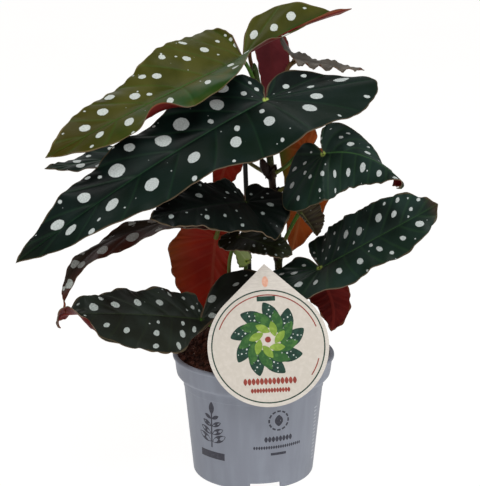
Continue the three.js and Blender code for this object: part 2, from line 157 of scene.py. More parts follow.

# %% [markdown]
# ## Studio
# The plant stands on a white light table among three soft lamps. The surround is kept dim, because
# a waxy dark leaf mirrors all that is bright around it, and the deep shade between the leaves is
# half of their look. One big lamp high in front gives the leaves their long soft sheen.

# %% Floor and soft light
LAMPS = [
    # place in metres, side of the square in metres, watts
    ((0.15, -0.9, 1.8), 1.0, 19),
    ((1.2, -0.9, 0.8), 0.7, 4),
    ((-0.5, 1.0, 1.3), 0.8, 4),
]
LAMP_TARGET = (0, 0, 0.2)
FLOOR_SIDE = 14
SURROUND = 0.32

floor = primitive("plane", size=FLOOR_SIDE)
floor.name = "studio_floor"

for place, side, watts in LAMPS:
    bpy.ops.object.light_add(type="AREA", location=place)
    lamp = bpy.context.object
    lamp.data.size = side
    lamp.data.energy = watts
    aim = np.array(LAMP_TARGET) - np.array(place)
    flat = math.hypot(aim[0], aim[1])
    lamp.rotation_euler = (math.atan2(flat, -aim[2]), 0, math.atan2(aim[1], aim[0]) - math.pi / 2)

world = bpy.data.worlds.new("soft_surround")
bpy.context.scene.world = world
world.use_nodes = True
surround = world.node_tree.nodes["Background"]
surround.inputs["Color"].default_value = (1, 1, 1, 1)
surround.inputs["Strength"].default_value = SURROUND
bpy.context.scene.view_settings.view_transform = "Standard"
print("lamps:", len(LAMPS))

# %% [markdown]
# ## Colours and nodes
# Colours are written as the hex codes a paint chart would use. Blender works with linear light, so
# one function turns a code into linear values. A second one adds a node, sets it and wires it: a
# value or a colour's code goes on the socket, and another node's socket becomes a link. Most
# patterns on a plant are layers, one colour over another where some measure is large or small, so
# `paint` lays one. `cover` puts the finished colour and a relief on the surface.

# %% Colour and node helpers


def colour(code):
    """The linear colour of an sRGB hex code."""
    parts = [int(code[i:i + 2], 16) / 255 for i in (0, 2, 4)]
    linear = [p / 12.92 if p <= 0.04045 else ((p + 0.055) / 1.055) ** 2.4 for p in parts]
    return (*linear, 1)


def plain(value):
    """A value as a socket takes it: a colour's code becomes a linear colour."""
    return colour(value) if isinstance(value, str) else value


def add(tree, kind, sockets, out=0, **settings):
    """Adds a node with its settings, values and links, and gives back one of its outputs."""
    node = tree.nodes.new(kind)
    for key, value in settings.items():
        setattr(node, key, value)
    for key, value in sockets.items():
        if isinstance(value, bpy.types.NodeSocket):
            tree.links.new(value, node.inputs[key])
        else:
            node.inputs[key].default_value = plain(value)
    return node.outputs[out]


def paint(tree, below, above, measure, bare, full, strength=1.0):
    """Lays a colour over another: none where the measure is `bare`, most where it is `full`."""
    share = add(tree, "ShaderNodeMapRange", {0: measure, 1: bare, 2: full, 3: 0, 4: strength},
                interpolation_type="SMOOTHSTEP")
    return add(tree, "ShaderNodeMix", {0: share, 6: below, 7: above}, out=2, data_type="RGBA")


def finish(name, **surface):
    """A new material whose Principled shader has the given settings."""
    material = bpy.data.materials.new(name)
    material.use_nodes = True
    tree = material.node_tree
    shader = tree.nodes["Principled BSDF"]
    for key, value in surface.items():
        shader.inputs[key.replace("_", " ").title().replace("Ior", "IOR")].default_value = plain(value)
    return material, tree, shader


def cover(tree, shader, skin, relief, strength, depth):
    """Gives a surface its colour, and a relief that is raised by so many millimetres."""
    bump = add(tree, "ShaderNodeBump", {"Height": relief, "Strength": strength, "Distance": depth * MM})
    tree.links.new(skin, shader.inputs["Base Color"])
    tree.links.new(bump, shader.inputs["Normal"])


print("red of a pale leaf, linear:", round(colour("9db26a")[0], 3))

# %% [markdown]
# The stage has to be plain and nearly white, even where the lamps don't reach. A light table does
# that: a sheet of cast opal acrylic that glows from below. It hardly shines, and a faint
# unevenness of the sheet keeps it from looking like empty space.

# %% Light table
opal, tree, shader = finish("opal_acrylic_cast", roughness=0.8, specular_ior_level=0.05,
                            emission_color="fffefd", emission_strength=0.96)
place = add(tree, "ShaderNodeTexCoord", {}, out="Object")
mottle = add(tree, "ShaderNodeTexNoise", {"Vector": place, "Scale": 3.0})
sheet = paint(tree, "585858", "5c5c5b", mottle, 0.3, 0.7)
tree.links.new(sheet, shader.inputs["Base Color"])
floor.data.materials.append(opal)
print("material:", opal.name)

# %% [markdown]
# ## Leaf skin
# A begonia leaf is a thin waxy blade. The upper skin of a grown leaf is a very dark blue-green with
# white spots, where air lies under the clear skin. The spots keep off the veins. Each blade carries
# its own measures as attributes of its mesh, in millimetres: how far a point lies inside the
# nearest large spot, from the nearest vein and from the edge. The material turns these into colour,
# so the pattern follows the leaf wherever it bends. Small dots are a Voronoi pattern on the leaf's
# own flat map. The wax gives a broad soft sheen, so the skin is moderately rough over a fine grain.

# %% Material of the upper skin


def measures_of(tree, *keys):
    """The sockets of a blade's own measures."""
    return [add(tree, "ShaderNodeAttribute", {}, out="Fac", attribute_name=key) for key in keys]


def upper_skin(name, deep, light, lower, rib, tip, knot="a9bd5c", spot="ccd2d0", shade="b2bbb7",
               dry_and_sheen="5e503a", ripe=0.9):
    material, tree, shader = finish(name, specular_ior_level=0.11)
    flat = add(tree, "ShaderNodeUVMap", {}, uv_map="UVMap")
    depth, vein, midrib, edge, along, side = measures_of(
        tree, "spot", "vein", "midrib", "edge", "along", "side")

    # the ground colour: cloudy patches about 30 mm wide, one half lighter, the tip its own colour
    clouds = add(tree, "ShaderNodeTexNoise", {"Vector": flat, "Scale": 34.0, "Detail": 4.0})
    skin = paint(tree, deep, light, clouds, 0.35, 0.68)
    other = paint(tree, lower, light, clouds, 0.35, 0.68)
    skin = paint(tree, skin, other, side, -0.08, 0.16)
    skin = paint(tree, skin, tip, along, ripe, 1.0)

    # side veins hardly lighter than the skin, the midrib clearly so near the stalk
    skin = paint(tree, skin, rib, vein, 1.5, 0.3, 0.12)
    fading = add(tree, "ShaderNodeMath", {0: along, 1: 0.6, 2: midrib}, operation="MULTIPLY_ADD")
    skin = paint(tree, skin, rib, fading, 0.9, 0.2, 0.7)

    # large spots with a slightly uneven edge, and small dots in some of the 8 mm cells
    tremble = add(tree, "ShaderNodeTexNoise", {"Vector": flat, "Scale": 420.0, "Detail": 2.0})
    inside = add(tree, "ShaderNodeMath", {0: tremble, 1: 0.9, 2: depth}, operation="MULTIPLY_ADD")
    cells = add(tree, "ShaderNodeTexVoronoi", {"Vector": flat, "Scale": 125.0, "Randomness": 0.9})
    lot = add(tree, "ShaderNodeSeparateColor", {0: cells.node.outputs["Color"]})
    radius = add(tree, "ShaderNodeMapRange", {0: lot, 1: 0.3, 2: 1.0, 3: 0.02, 4: 0.1})
    dot = add(tree, "ShaderNodeMath", {0: radius, 1: cells}, operation="SUBTRACT")
    milk = add(tree, "ShaderNodeTexNoise", {"Vector": flat, "Scale": 900.0, "Detail": 3.0})
    chalk = paint(tree, shade, spot, milk, 0.3, 0.7)
    dotted = paint(tree, skin, chalk, dot, -0.03, 0.03)
    skin = paint(tree, skin, dotted, vein, 0.5, 1.2)
    skin = paint(tree, skin, chalk, inside, 0.65, 1.05)

    # a knot of paler green where the stalk joins, and a thin dry line along the edge
    centre = add(tree, "ShaderNodeVectorMath", {0: flat}, out="Value", operation="LENGTH")
    skin = paint(tree, skin, knot, centre, 3.0 * MM, 1.3 * MM)
    skin = paint(tree, skin, dry_and_sheen, edge, 0.8, 0.25, 0.6)

    # wax of uneven gloss over a skin grain of about 0.6 mm, with the spots a trace raised
    gloss = add(tree, "ShaderNodeMapRange", {0: clouds, 1: 0.3, 2: 0.7, 3: 0.36, 4: 0.5})
    tree.links.new(gloss, shader.inputs["Roughness"])
    grain = add(tree, "ShaderNodeTexVoronoi", {"Vector": flat, "Scale": 1700.0})
    raised = add(tree, "ShaderNodeMapRange", {0: inside, 1: 0.2, 2: 0.8, 3: 0.0, 4: 1.2})
    relief = add(tree, "ShaderNodeMath", {0: grain, 1: raised}, operation="ADD")
    cover(tree, shader, skin, relief, 0.35, 0.05)
    return material


SKINS = {
    "dark": upper_skin("begonia_skin_waxed_dark", "060e0c", "0f201b", "0a1c12", "2c5433", "14190e"),
    # the two right leaves' skin: the dark skin painted lighter and greyer, as painted light where the lamps
    # reach them less
    "painted_light_slate": upper_skin("begonia_skin_painted_light_slate", "141f1a", "21332d", "16281d", "3c6034", "35281c"),
    # the middle leaf's skin: the dark skin painted near black, its spots dimmed, as painted shade under the
    # great leaf
    "painted_shade_black": upper_skin("begonia_skin_painted_shade_black", "030404", "06100d", "06100c", "16261c", "0a0d09",
                        knot="1a2414", spot="a5afab", shade="7d8884"),
    "brown": upper_skin("begonia_skin_waxed_brown", "1a1a16", "252c26", "1d211a", "2e3a22", "4e150f",
                        knot="2e3a22", spot="b9c1bc", shade="939d98"),
    "ruddy": upper_skin("begonia_skin_waxed_ruddy", "2b241d", "3b352b", "4a1c12", "28281a", "4e120c",
                        knot="2a2c18", spot="b4bab4", shade="949b94", dry_and_sheen="4a2418", ripe=0.8),
    "olive": upper_skin("begonia_skin_waxed_olive", "383a04", "4a4a16", "1a3e0a", "2a6c22", "3c3600",
                        spot="d0d5d0", shade="bcc4bc", dry_and_sheen="7a6a44", ripe=0.5),
    "murky": upper_skin("begonia_skin_waxed_murky", "0e0f06", "1c2010", "16180a", "2c3a1c", "14180c",
                        knot="2a3416", spot="a5afab", shade="7d8884"),
    "young": upper_skin("begonia_skin_waxed_young", "1c1305", "2c1f0a", "1a1607", "6a6840", "2c1808",
                        knot="3a3a1c", spot="6e6f66", shade="5a5b52"),
    "pale": upper_skin("begonia_skin_new_pale", "9db26a", "b4c486", "8ea558", "c3cf94", "9aa860"),
    # the edge-on leaf's skin: a dark brown painted grey, a painted sheen where the leaf mirrors the light
    "dry_and_sheen": upper_skin("begonia_skin_painted_sheen_grey", "2b2620", "6a635a", "4a443b", "3a342c", "5a1a12",
                      knot="4a443b", spot="7d786e", shade="6f695f", dry_and_sheen="3a2f24"),
}
print("upper skins:", ", ".join(SKINS))

# %% [markdown]
# The underside is wine red: the colour lies in its lowest layer of cells. Light that falls through the
# blade turns it to orange and brick, and this glow is painted into the brick and amber undersides of
# the hanging leaves. The underside has the same veins, here raised and paler, and less gloss than the upper
# side.

# %% Material of the underside


def under_skin(name, deep, light, wash, rib):
    material, tree, shader = finish(name, roughness=0.55, specular_ior_level=0.14)
    flat = add(tree, "ShaderNodeUVMap", {}, uv_map="UVMap")
    vein, midrib, edge, side = measures_of(tree, "vein", "midrib", "edge", "side")
    clouds = add(tree, "ShaderNodeTexNoise", {"Vector": flat, "Scale": 30.0, "Detail": 5.0})
    skin = paint(tree, deep, light, clouds, 0.32, 0.68)
    skin = paint(tree, skin, wash, side, 0.06, 0.3)
    skin = paint(tree, skin, rib, vein, 1.4, 0.4, 0.16)
    skin = paint(tree, skin, rib, midrib, 1.5, 0.5, 0.4)
    skin = paint(tree, skin, "8a5a3a", edge, 1.0, 0.3, 0.45)
    grain = add(tree, "ShaderNodeTexVoronoi", {"Vector": flat, "Scale": 1500.0})
    cover(tree, shader, skin, grain, 0.3, 0.05)
    return material


UNDERS = {
    "wine": under_skin("begonia_underside_wine", "420301", "620b04", "500703", "7e261c"),
    # brick: wine red painted brighter and redder, the painted glow of light through a hanging blade
    "brick": under_skin("begonia_underside_painted_glow_brick", "7a1202", "931f05", "64380a", "8e402c"),
    "maroon": under_skin("begonia_underside_maroon", "5c2026", "7e3036", "6a262c", "70282b"),
    # amber: wine red painted orange, the painted glow of light through a hanging blade
    "painted_glow_amber": under_skin("begonia_underside_painted_glow_amber", "84360a", "a44c14", "4a4c0c", "a8683a"),
    "green": under_skin("begonia_underside_green", "7f9650", "98ab66", "88a050", "b8c690"),
}
print("undersides:", ", ".join(UNDERS))

# %% [markdown]
# Stalks and canes are round, smooth and fleshy. Their skin is green where it is young and brown
# where it ages, with short pale pores that run along the stem. The rim of a blade is only the cut
# edge between its two skins, dry and a little reddish.

# %% Materials of stalks, canes and blade rims


def stem_skin(name, young, aged, pores):
    material, tree, shader = finish(name, roughness=0.5, specular_ior_level=0.15)
    place = add(tree, "ShaderNodeTexCoord", {}, out="Object")
    age = add(tree, "ShaderNodeTexNoise", {"Vector": place, "Scale": 40.0, "Detail": 4.0})
    skin = paint(tree, young, aged, age, 0.35, 0.65)
    longways = add(tree, "ShaderNodeMapping", {"Vector": place, "Scale": (700, 700, 260)})
    cells = add(tree, "ShaderNodeTexVoronoi", {"Vector": longways, "Scale": 1.0})
    skin = paint(tree, skin, "8f8a5e", cells, 0.24, 0.12, pores)
    cover(tree, shader, skin, age, 0.4, 0.3)
    return material


STEMS = {
    "green": stem_skin("begonia_stalk_green", "3f6a22", "5c5a26", 0.3),
    "brown": stem_skin("begonia_stalk_reddish", "54401e", "5e2a18", 0.3),
    "cane": stem_skin("begonia_cane_ripening", "2a4014", "2e1a0d", 0.7),
    "scale": stem_skin("begonia_scale_papery", "2c140b", "180c07", 0.0),
}
rim_skin, tree, shader = finish("begonia_blade_rim_dry", roughness=0.6, base_color="5e4c36")
print("stems:", ", ".join(STEMS))

# %% [markdown]
# ## Shape of a leaf
# This begonia's leaf is a lopsided wing. Laid flat, its midrib runs along x from the stalk to the
# tip, one half is broad and reaches back in an ear beside the stalk, and the other is narrow. The
# outline of each half is a smooth line through a few points, in leaf lengths. It could be traced
# point by point for every leaf, but all leaves of one plant share one plan, so each leaf changes
# the same outline by a few numbers of its own.

# %% Outline of a leaf laid flat
BROAD_EDGE = [
    (0, 0), (-0.035, -0.07), (-0.075, -0.12), (-0.14, -0.15), (-0.22, -0.115), (-0.28, -0.02),
    (-0.3, 0.1), (-0.26, 0.215), (-0.15, 0.295), (0, 0.32), (0.15, 0.29), (0.32, 0.24), (0.5, 0.2),
    (0.7, 0.155), (0.85, 0.1), (0.94, 0.045), (1, 0),
]
NARROW_EDGE = [
    (0, 0), (-0.01, -0.05), (-0.025, -0.1), (-0.01, -0.165), (0.05, -0.215), (0.17, -0.245),
    (0.34, -0.24), (0.52, -0.215), (0.7, -0.175), (0.85, -0.11), (0.94, -0.05), (1, 0),
]
# how far the ear reaches behind the stalk, and the line that its taper draws it to
EAR_END = 0.3
EAR_LEVEL = 0.08
SAMPLES = 40


def smooth_line(points):
    """Close samples of the smooth curve that passes through the points."""
    padded = np.array([points[0], *points, points[-1]], float)
    step = np.linspace(0, 1, SAMPLES, endpoint=False)[:, None]
    pieces = []
    for a, b, c, d in zip(padded, padded[1:], padded[2:], padded[3:]):
        leave, arrive = (c - a) / 2, (d - b) / 2
        cubic = (2 * b - 2 * c + leave + arrive) * step ** 3
        pieces.append(cubic + (3 * c - 3 * b - 2 * leave - arrive) * step ** 2 + leave * step + b)
    return np.vstack([*pieces, padded[-1:]])


def points_along(line, shares):
    """The points at the given shares of a line's length."""
    steps = np.linalg.norm(np.diff(line, axis=0), axis=1)
    length = np.concatenate([[0], np.cumsum(steps)])
    places = np.asarray(shares) * length[-1]
    return np.stack([np.interp(places, length, axis) for axis in line.T], axis=-1)


def half_edge(half, leaf):
    """The edge of the broad half, 0, or the narrow one, 1, from the stalk round to the tip.

    Blunt and hip fill it out towards the tip and the stalk. Shoulder leans the narrow half. Pinch
    draws the broad half in beside the stalk, and ear, swing and taper shape what reaches back."""
    x, y = np.array(NARROW_EDGE if half else BROAD_EDGE, float).T
    blunter = leaf["blunt"][half] * np.maximum(0, x) ** 4
    hips = leaf["hip"][half] * np.clip(1 - x, 0, 1) ** 4
    full = y * (1 + (blunter + hips))
    if half == 1:
        return smooth_line(np.stack([x + leaf["shoulder"] * full * (1 - x) ** 3, full], axis=1))
    pinch = np.where(y > 0, leaf["pinch"] * np.clip(1 - x / leaf["reach"], 0, 1), 0)
    slim = full * (1 - pinch)
    swung = slim + leaf["swing"] * x
    ear = swung - (swung - EAR_LEVEL) * leaf["taper"] * np.minimum(1, -x / EAR_END)
    behind = x < 0
    x = np.where(behind, x * leaf["ear"], x)
    return smooth_line(np.stack([x, np.where(behind, ear, slim)], axis=1))


print("outline points:", len(BROAD_EDGE), "and", len(NARROW_EDGE))

# %% [markdown]
# Each half is ruled by rays from the midrib to the edge. Where the half reaches back behind the
# stalk, its rays fan out from the stalk's end. `flat_point` finds any point of a ray by two shares:
# t, how far along the edge the ray ends, and v, how far out on the ray the point lies. A blade made
# of these rays bends well, because a real blade also folds along its veins, which run the same way.

# %% Rays of a half, laid flat
SPACING = 1.15
FEWEST_RAYS = 45
# for the broad half and the narrow one
FAN_SHARE = (0.45, 0.28)
FAN_RAYS = (0.85, 0.42)
COLUMNS = (0.272, 0.221)
TEETH_PER_100 = (15, 11)
# waves along the edge, and how much each seed shifts them
EDGE_LOBES = ((5.3, 0.37), (8.1, 0.71))
EDGE_FRILLS = ((13, 1), (21, 0.3))


def ray_starts(half, t):
    """Where the rays that end at the shares t of the edge start on the midrib."""
    return np.clip((t - FAN_SHARE[half]) / (1 - FAN_SHARE[half]), 0, 1) ** 1.1


def lay_out(half, leaf):
    """The shares t of a half's rays and the shares v of the points on each, as two grids.

    A small leaf has closer rays. Both halves have the same rays along the midrib, so that their
    corners meet there."""
    reach = leaf["length"] / min(SPACING, leaf["length"] / FEWEST_RAYS)
    ribs = round(1.05 * reach * max(1, 0.8 * max(leaf["wide"])))
    fan = round(FAN_RAYS[half] * reach * max(1, leaf["wide"][half]))
    columns = round(COLUMNS[half] * reach * leaf["wide"][half])
    share = FAN_SHARE[half]
    t = np.concatenate([np.linspace(0, share, fan, endpoint=False), np.linspace(share, 1, ribs + 1)])
    v = 1 - (1 - np.linspace(0, 1, columns + 1)) ** 1.15
    return np.meshgrid(t, v, indexing="ij")


def edge_teeth(t, half, leaf):
    """How far the edge stands out or in, in millimetres: small rounded teeth and uneven lobes."""
    count = TEETH_PER_100[half] * leaf["length"] / 100
    uneven = t + 0.02 * np.sin(TURN * (3 * t + leaf["seed"]))
    teeth = np.abs(np.sin(math.pi * count * uneven)) - 0.6
    lobes = sum(np.sin(TURN * (waves * t + shift * leaf["seed"])) for waves, shift in EDGE_LOBES)
    size = leaf["teeth"] * (1 + leaf["crumple"] * np.clip((t - 0.8) * 8, 0, 1))
    return size * (0.9 * teeth + 0.35 * lobes) * np.clip(np.sin(math.pi * t) * 6, 0, 1)


def flat_point(half, leaf, t, v):
    """The points on a flat half's rays, in leaf lengths: v is 0 on the midrib and 1 on the edge."""
    start = ray_starts(half, t)
    end = points_along(leaf["edges"][half], t)
    x = start + (end[..., 0] - start) * v
    return np.stack([x, end[..., 1] * v], axis=-1)


print("a blade's mesh is about", SPACING, "mm wide between rays")

# %% [markdown]
# The flat blade is then bent onto a curved midrib, the way a card wing is bent onto a wire. `bend`
# does what the maker of the plain solid did, with the same numbers, so that the fine blade lies
# along the plain one: the halves fold up or down, cup over, droop at the ear and ruffle along the
# edge. What the plain blade is too coarse for is added on top: veins sunk as narrow grooves, the
# skin swollen between them, and a finer ruffle at the very edge.

# %% Bending a flat blade onto its midrib


def unit(vectors):
    return vectors / np.linalg.norm(vectors, axis=-1, keepdims=True)


def bell(gap, height, width):
    """A bell curve, highest where the gap is nothing."""
    return height * np.exp(-(gap / width) ** 2)


def midrib_point(leaf, w):
    a, b, c, d = np.array(leaf["rib"], float)
    w = np.asarray(w)[..., None]
    return (1 - w) ** 3 * a + 3 * w * (1 - w) ** 2 * b + 3 * w ** 2 * (1 - w) * c + w ** 3 * d


def midrib_run(leaf, w):
    a, b, c, d = np.array(leaf["rib"], float)
    w = np.asarray(w)[..., None]
    return unit((1 - w) ** 2 * (b - a) + 2 * w * (1 - w) * (c - b) + w ** 2 * (d - c))


def roll_tip(leaf, w, point, along, face):
    """Twists the last part of the midrib and rolls it into an arc, with its directions."""
    start, turn, lean = leaf["tip_roll"]
    twist = math.radians(lean) * np.clip(1 + (w - start) / 0.12, 0, 1)[..., None]
    face = face * np.cos(twist) + np.cross(face, along) * np.sin(twist)
    angle = math.radians(turn) * np.clip((w - start) / (1 - start), 0, 1)[..., None]
    radius = (1 - start) * leaf["length"] / math.radians(turn)
    hinge = midrib_point(leaf, np.full(w.shape, start))
    rolled = hinge + radius * (along * np.sin(angle) + face * (1 - np.cos(angle)))
    ahead = along * np.cos(angle) + face * np.sin(angle)
    facing = face * np.cos(angle) - along * np.sin(angle)
    return np.where((w > start)[..., None], rolled, point), ahead, facing


def roll_margin(half, leaf, t, v, across, rise):
    """Rolls stretches of the margin into an arc: up, or down where the turn is negative."""
    for rolled_half, middle, reach, start, turn in leaf["curls"]:
        if rolled_half != half:
            continue
        share = np.clip(1 - np.abs(t - middle) / reach, 0, 1)
        share = share ** 2 * (3 - 2 * share)
        full = math.radians(turn) * share + 1e-6
        angle = full * np.maximum(0, v - start) / (1 - start)
        width = across / np.maximum(v, 1e-6)
        arc = width * (1 - start) / full
        across = np.where(v > start, width * start + arc * np.sin(angle), across)
        rise = rise + np.sign(turn) * np.abs(arc) * (1 - np.cos(angle))
    return across, rise


def bend(half, leaf, flat, t, v, relief):
    """Places flat points of a half, in leaf lengths, on the leaf. The result is in millimetres."""
    length = leaf["length"]
    w = np.clip(flat[..., 0], 0, 1)
    along = midrib_run(leaf, w)
    first, last = np.array(leaf["face"], float)
    face = first + (last - first) * w[..., None] ** leaf["twist"]
    face = unit(face - along * np.sum(face * along, axis=-1, keepdims=True))
    point = midrib_point(leaf, w)
    if leaf["tip_roll"]:
        point, along, face = roll_tip(leaf, w, point, along, face)
    side = np.cross(face, along) * leaf["hand"]
    across = flat[..., 1] * length * leaf["wide"][half]
    back = np.maximum(0, -flat[..., 0]) * length
    fold_stalk, fold_tip = leaf["fold"][half]
    fold = np.radians(fold_tip + (fold_stalk - fold_tip) * (1 - w) ** 3)
    ruffle = np.sin(TURN * (leaf["waves"][half] * t + leaf["phase"][half]))
    ruffle = ruffle * np.sqrt(np.maximum(0, np.sin(math.pi * t)))
    frill = sum(np.sin(TURN * (waves * t + shift * leaf["seed"])) for waves, shift in EDGE_FRILLS)
    rise = np.abs(across) * np.sin(fold) - leaf["cup"] * across ** 2 / length
    rise += leaf["lift"] * back - leaf["sag"] * back ** 2 / length
    rise += leaf["wave"][half] * length * v ** 2 * ruffle + leaf["frill"] * v ** 4 * frill + relief
    across, rise = roll_margin(half, leaf, t, v, across * np.cos(fold), rise)
    return point - along * back[..., None] + side * across[..., None] + face * rise[..., None]


print("bend() folds, cups, droops and ruffles a flat blade")

# %% [markdown]
# ## Veins and spots
# Main veins leave the stalk's end like the fingers of a hand, and side veins leave the midrib and
# lean forward. The large white spots sit in the fields between two veins: one big spot about half
# way out, a smaller one nearer the edge, another near the midrib and small ones between. So both
# come from one list of veins, given by where each starts on the midrib and ends on the edge. Which
# fields have a spot, and its exact size, is a seeded draw: the spots follow the plant's own order,
# and they don't copy the places of one real leaf's spots.

# %% Veins and spots of a flat blade
VEINS = (
    # start on the midrib, end as a share of the edge
    ((0, 0.06), (0, 0.15), (0, 0.25), (0, 0.35), (0.01, 0.46), (0.09, 0.56), (0.22, 0.65), (0.37, 0.74),
     (0.53, 0.82), (0.69, 0.9), (0.83, 0.96)),
    ((0, 0.09), (0, 0.21), (0.01, 0.33), (0.1, 0.44), (0.23, 0.56), (0.38, 0.67), (0.54, 0.78),
     (0.7, 0.87), (0.84, 0.95)),
)
SPOT_ROWS = (
    # share of the way out, size against the field's width, share of fields that have one
    (0.5, 0.33, 1),
    (0.8, 0.22, 0.95),
    (0.26, 0.18, 0.75),
    (0.65, 0.12, 0.6),
    (0.93, 0.1, 0.7),
)
SMALLEST_SPOT = 0.9
SPOT_DISTANCE = 1.4


def vein_point(half, leaf, vein, v):
    """A point on a vein of a half, flat, in millimetres: veins curve a little towards the tip."""
    start, end = vein
    foot = np.array([start, 0.0])
    goal = points_along(leaf["edges"][half], end) - foot
    v = np.asarray(v)[..., None]
    bow = np.array([0.03, 0.0]) * v * (1 - v)
    return (foot + goal * v - bow) * leaf["scale"][half]


def distance_to(points, line):
    """How far each point lies from a line of straight stretches."""
    nearest = np.full(points.shape[:-1], np.inf)
    for a, b in zip(line, line[1:]):
        run = b - a
        share = np.clip((points - a) @ run / max(run @ run, 1e-12), 0, 1)
        gap = np.linalg.norm(points - a - share[..., None] * run, axis=-1)
        nearest = np.minimum(nearest, gap)
    return nearest


def spots_of(half, leaf, dice):
    """Centre, direction and two radii of each large spot of a half, flat, in millimetres."""
    found = []
    for first, second in zip(VEINS[half], VEINS[half][1:]):
        for out, size, chance in SPOT_ROWS:
            lucky, jitter, shift, grow, slim = dice.random(5)
            if lucky > chance * leaf["spotted"]:
                continue
            v = out + 0.16 * (jitter - 0.5)
            low, high = vein_point(half, leaf, first, v), vein_point(half, leaf, second, v)
            middle = low + (high - low) * (0.5 + 0.3 * (shift - 0.5))
            ahead = vein_point(half, leaf, second, min(1, v + 0.1)) - high
            width = np.linalg.norm(high - low)
            long_radius = min(leaf["largest"], width * size * (0.5 + 0.4 * grow))
            short_radius = long_radius * (0.62 + 0.25 * slim)
            crowded = any(np.linalg.norm(middle - other[0]) < SPOT_DISTANCE * (long_radius + other[2])
                          for other in found)
            if long_radius > SMALLEST_SPOT and not crowded:
                found.append((middle, ahead / np.linalg.norm(ahead), long_radius, short_radius))
    return found


def inside_spots(points, spots):
    """How deep each point lies inside the nearest spot, in millimetres, negative outside."""
    deepest = np.full(points.shape[:-1], -9.0)
    for middle, run, long_radius, short_radius in spots:
        away = points - middle
        lengthways = away @ run / long_radius
        sideways = away @ np.array([-run[1], run[0]]) / short_radius
        depth = (1 - np.hypot(lengthways, sideways)) * short_radius
        deepest = np.maximum(deepest, depth)
    return deepest


print("veins in the halves:", len(VEINS[0]), "and", len(VEINS[1]))

# %% [markdown]
# ## Building a blade
# A blade starts as two flat grids, one for each half, added as grid primitives whose rows are the
# rays. Their corners are moved onto the bent leaf, and each carries its measures along. The halves
# are joined, the doubled corners along the midrib are merged, and a Solidify modifier gives the
# blade its two skins and its rim, each with its own material.

# %% Building a blade
BLADE_THICKNESS = 0.6
SWELLING = 0.5
FULL_RELIEF = 110
# depth and width of each groove, on a leaf that is long enough for the full relief
VEIN_GROOVE = (0.3, 1.0)
MIDRIB_GROOVE = (0.35, 1.5)


def line_measures(half, leaf, spread, v):
    """How far each flat point lies from the nearest vein, from the midrib and from the edge."""
    veins = [vein_point(half, leaf, vein, np.linspace(0, 0.97, 12)) for vein in VEINS[half]]
    vein = np.min([distance_to(spread, line) for line in veins], axis=0)
    midrib = distance_to(spread, np.array([[0, 0], [leaf["length"], 0]], float))
    border = points_along(leaf["edges"][half], np.linspace(0.01, 0.995, 150)) * leaf["scale"][half]
    edge = np.where(v == 1, 0, distance_to(spread, border))
    return np.minimum(vein, midrib), midrib, edge


def skin_relief(leaf, vein, midrib, edge):
    """The height of the skin itself: grooves along the veins and swollen fields between them."""
    swell = SWELLING * (1 - bell(vein, 1, 4)) * np.clip(edge / 6, 0, 1)
    grooves = bell(vein, *VEIN_GROOVE) + bell(midrib, *MIDRIB_GROOVE)
    return min(1, leaf["length"] / FULL_RELIEF) * (swell - grooves)


def shape_grid(placed, spread, measures):
    """A grid with its corners moved to their places. It carries its measures and its flat map."""
    rays, columns = placed.shape[0] - 1, placed.shape[1] - 1
    grid = primitive("grid", x_subdivisions=rays, y_subdivisions=columns, size=1)
    mesh = grid.data
    corner = np.zeros(len(mesh.vertices) * 3)
    mesh.vertices.foreach_get("co", corner)
    corner = corner.reshape(-1, 3)
    ray = np.rint((corner[:, 0] + 0.5) * rays).astype(int)
    column = np.rint((corner[:, 1] + 0.5) * columns).astype(int)
    mesh.vertices.foreach_set("co", (placed[ray, column] * MM).ravel())
    for key, values in measures.items():
        attribute = mesh.attributes.new(key, "FLOAT", "POINT")
        attribute.data.foreach_set("value", values[ray, column].astype(np.float32))
    owner = np.zeros(len(mesh.loops), int)
    mesh.loops.foreach_get("vertex_index", owner)
    mesh.uv_layers.active.data.foreach_set("uv", (spread[ray, column][owner] * MM).ravel())
    mesh.uv_layers.active.name = "UVMap"
    return grid


def grow_half(half, leaf, dice):
    t, v = lay_out(half, leaf)
    flat = flat_point(half, leaf, t, v)
    outward = unit(flat_point(half, leaf, t, 1) - flat_point(half, leaf, t, 0) + 1e-9)
    flat = flat + outward * (edge_teeth(t, half, leaf) * v ** 3 / leaf["length"])[..., None]
    spread = flat * leaf["scale"][half]
    vein, midrib, edge = line_measures(half, leaf, spread, v)
    placed = bend(half, leaf, flat, t, v, skin_relief(leaf, vein, midrib, edge))
    spot = inside_spots(spread, spots_of(half, leaf, dice))
    grid = shape_grid(placed, spread, {"spot": spot, "vein": vein, "midrib": midrib, "edge": edge,
                                       "along": flat[..., 0], "side": flat[..., 1]})

    # the grid's upper side has to be the leaf's upper side
    ray = (len(placed) - 1) // 2
    a, b, c = placed[ray, 1], placed[ray + 1, 1], placed[ray, 2]
    if np.cross(b - a, c - a) @ np.array(leaf["face"][0], float) < 0:
        with editing():
            bpy.ops.mesh.flip_normals()
    return grid


def grow_blade(leaf):
    dice = np.random.default_rng(leaf["seed"])
    blade = join([grow_half(0, leaf, dice), grow_half(1, leaf, dice)])
    with editing():
        bpy.ops.mesh.remove_doubles(threshold=0.02 * MM)
    for material in (SKINS[leaf["upper"]], UNDERS[leaf["under"]], rim_skin):
        blade.data.materials.append(material)
    apply_modifier(blade, "SOLIDIFY", thickness=BLADE_THICKNESS * MM, offset=0, use_rim=True,
                   material_offset=1, material_offset_rim=2)
    smooth(blade, 50)
    return blade


print("blades are", BLADE_THICKNESS, "mm thick")

# %% [markdown]
# ## Stalks
# A stalk is a tapering fleshy rod, a little swollen at both ends. It could be a spun cylinder bent
# in edit mode. A curve with a round bevel is simpler, because each of its points has a radius of
# its own, and converting it gives a clean closed mesh.

# %% Round rods along a route
STALK_SEAT = 1.5
STALK_RADII = (1.9, 1.5, 1.4, 1.4, 1.5, 1.6, 2.1)


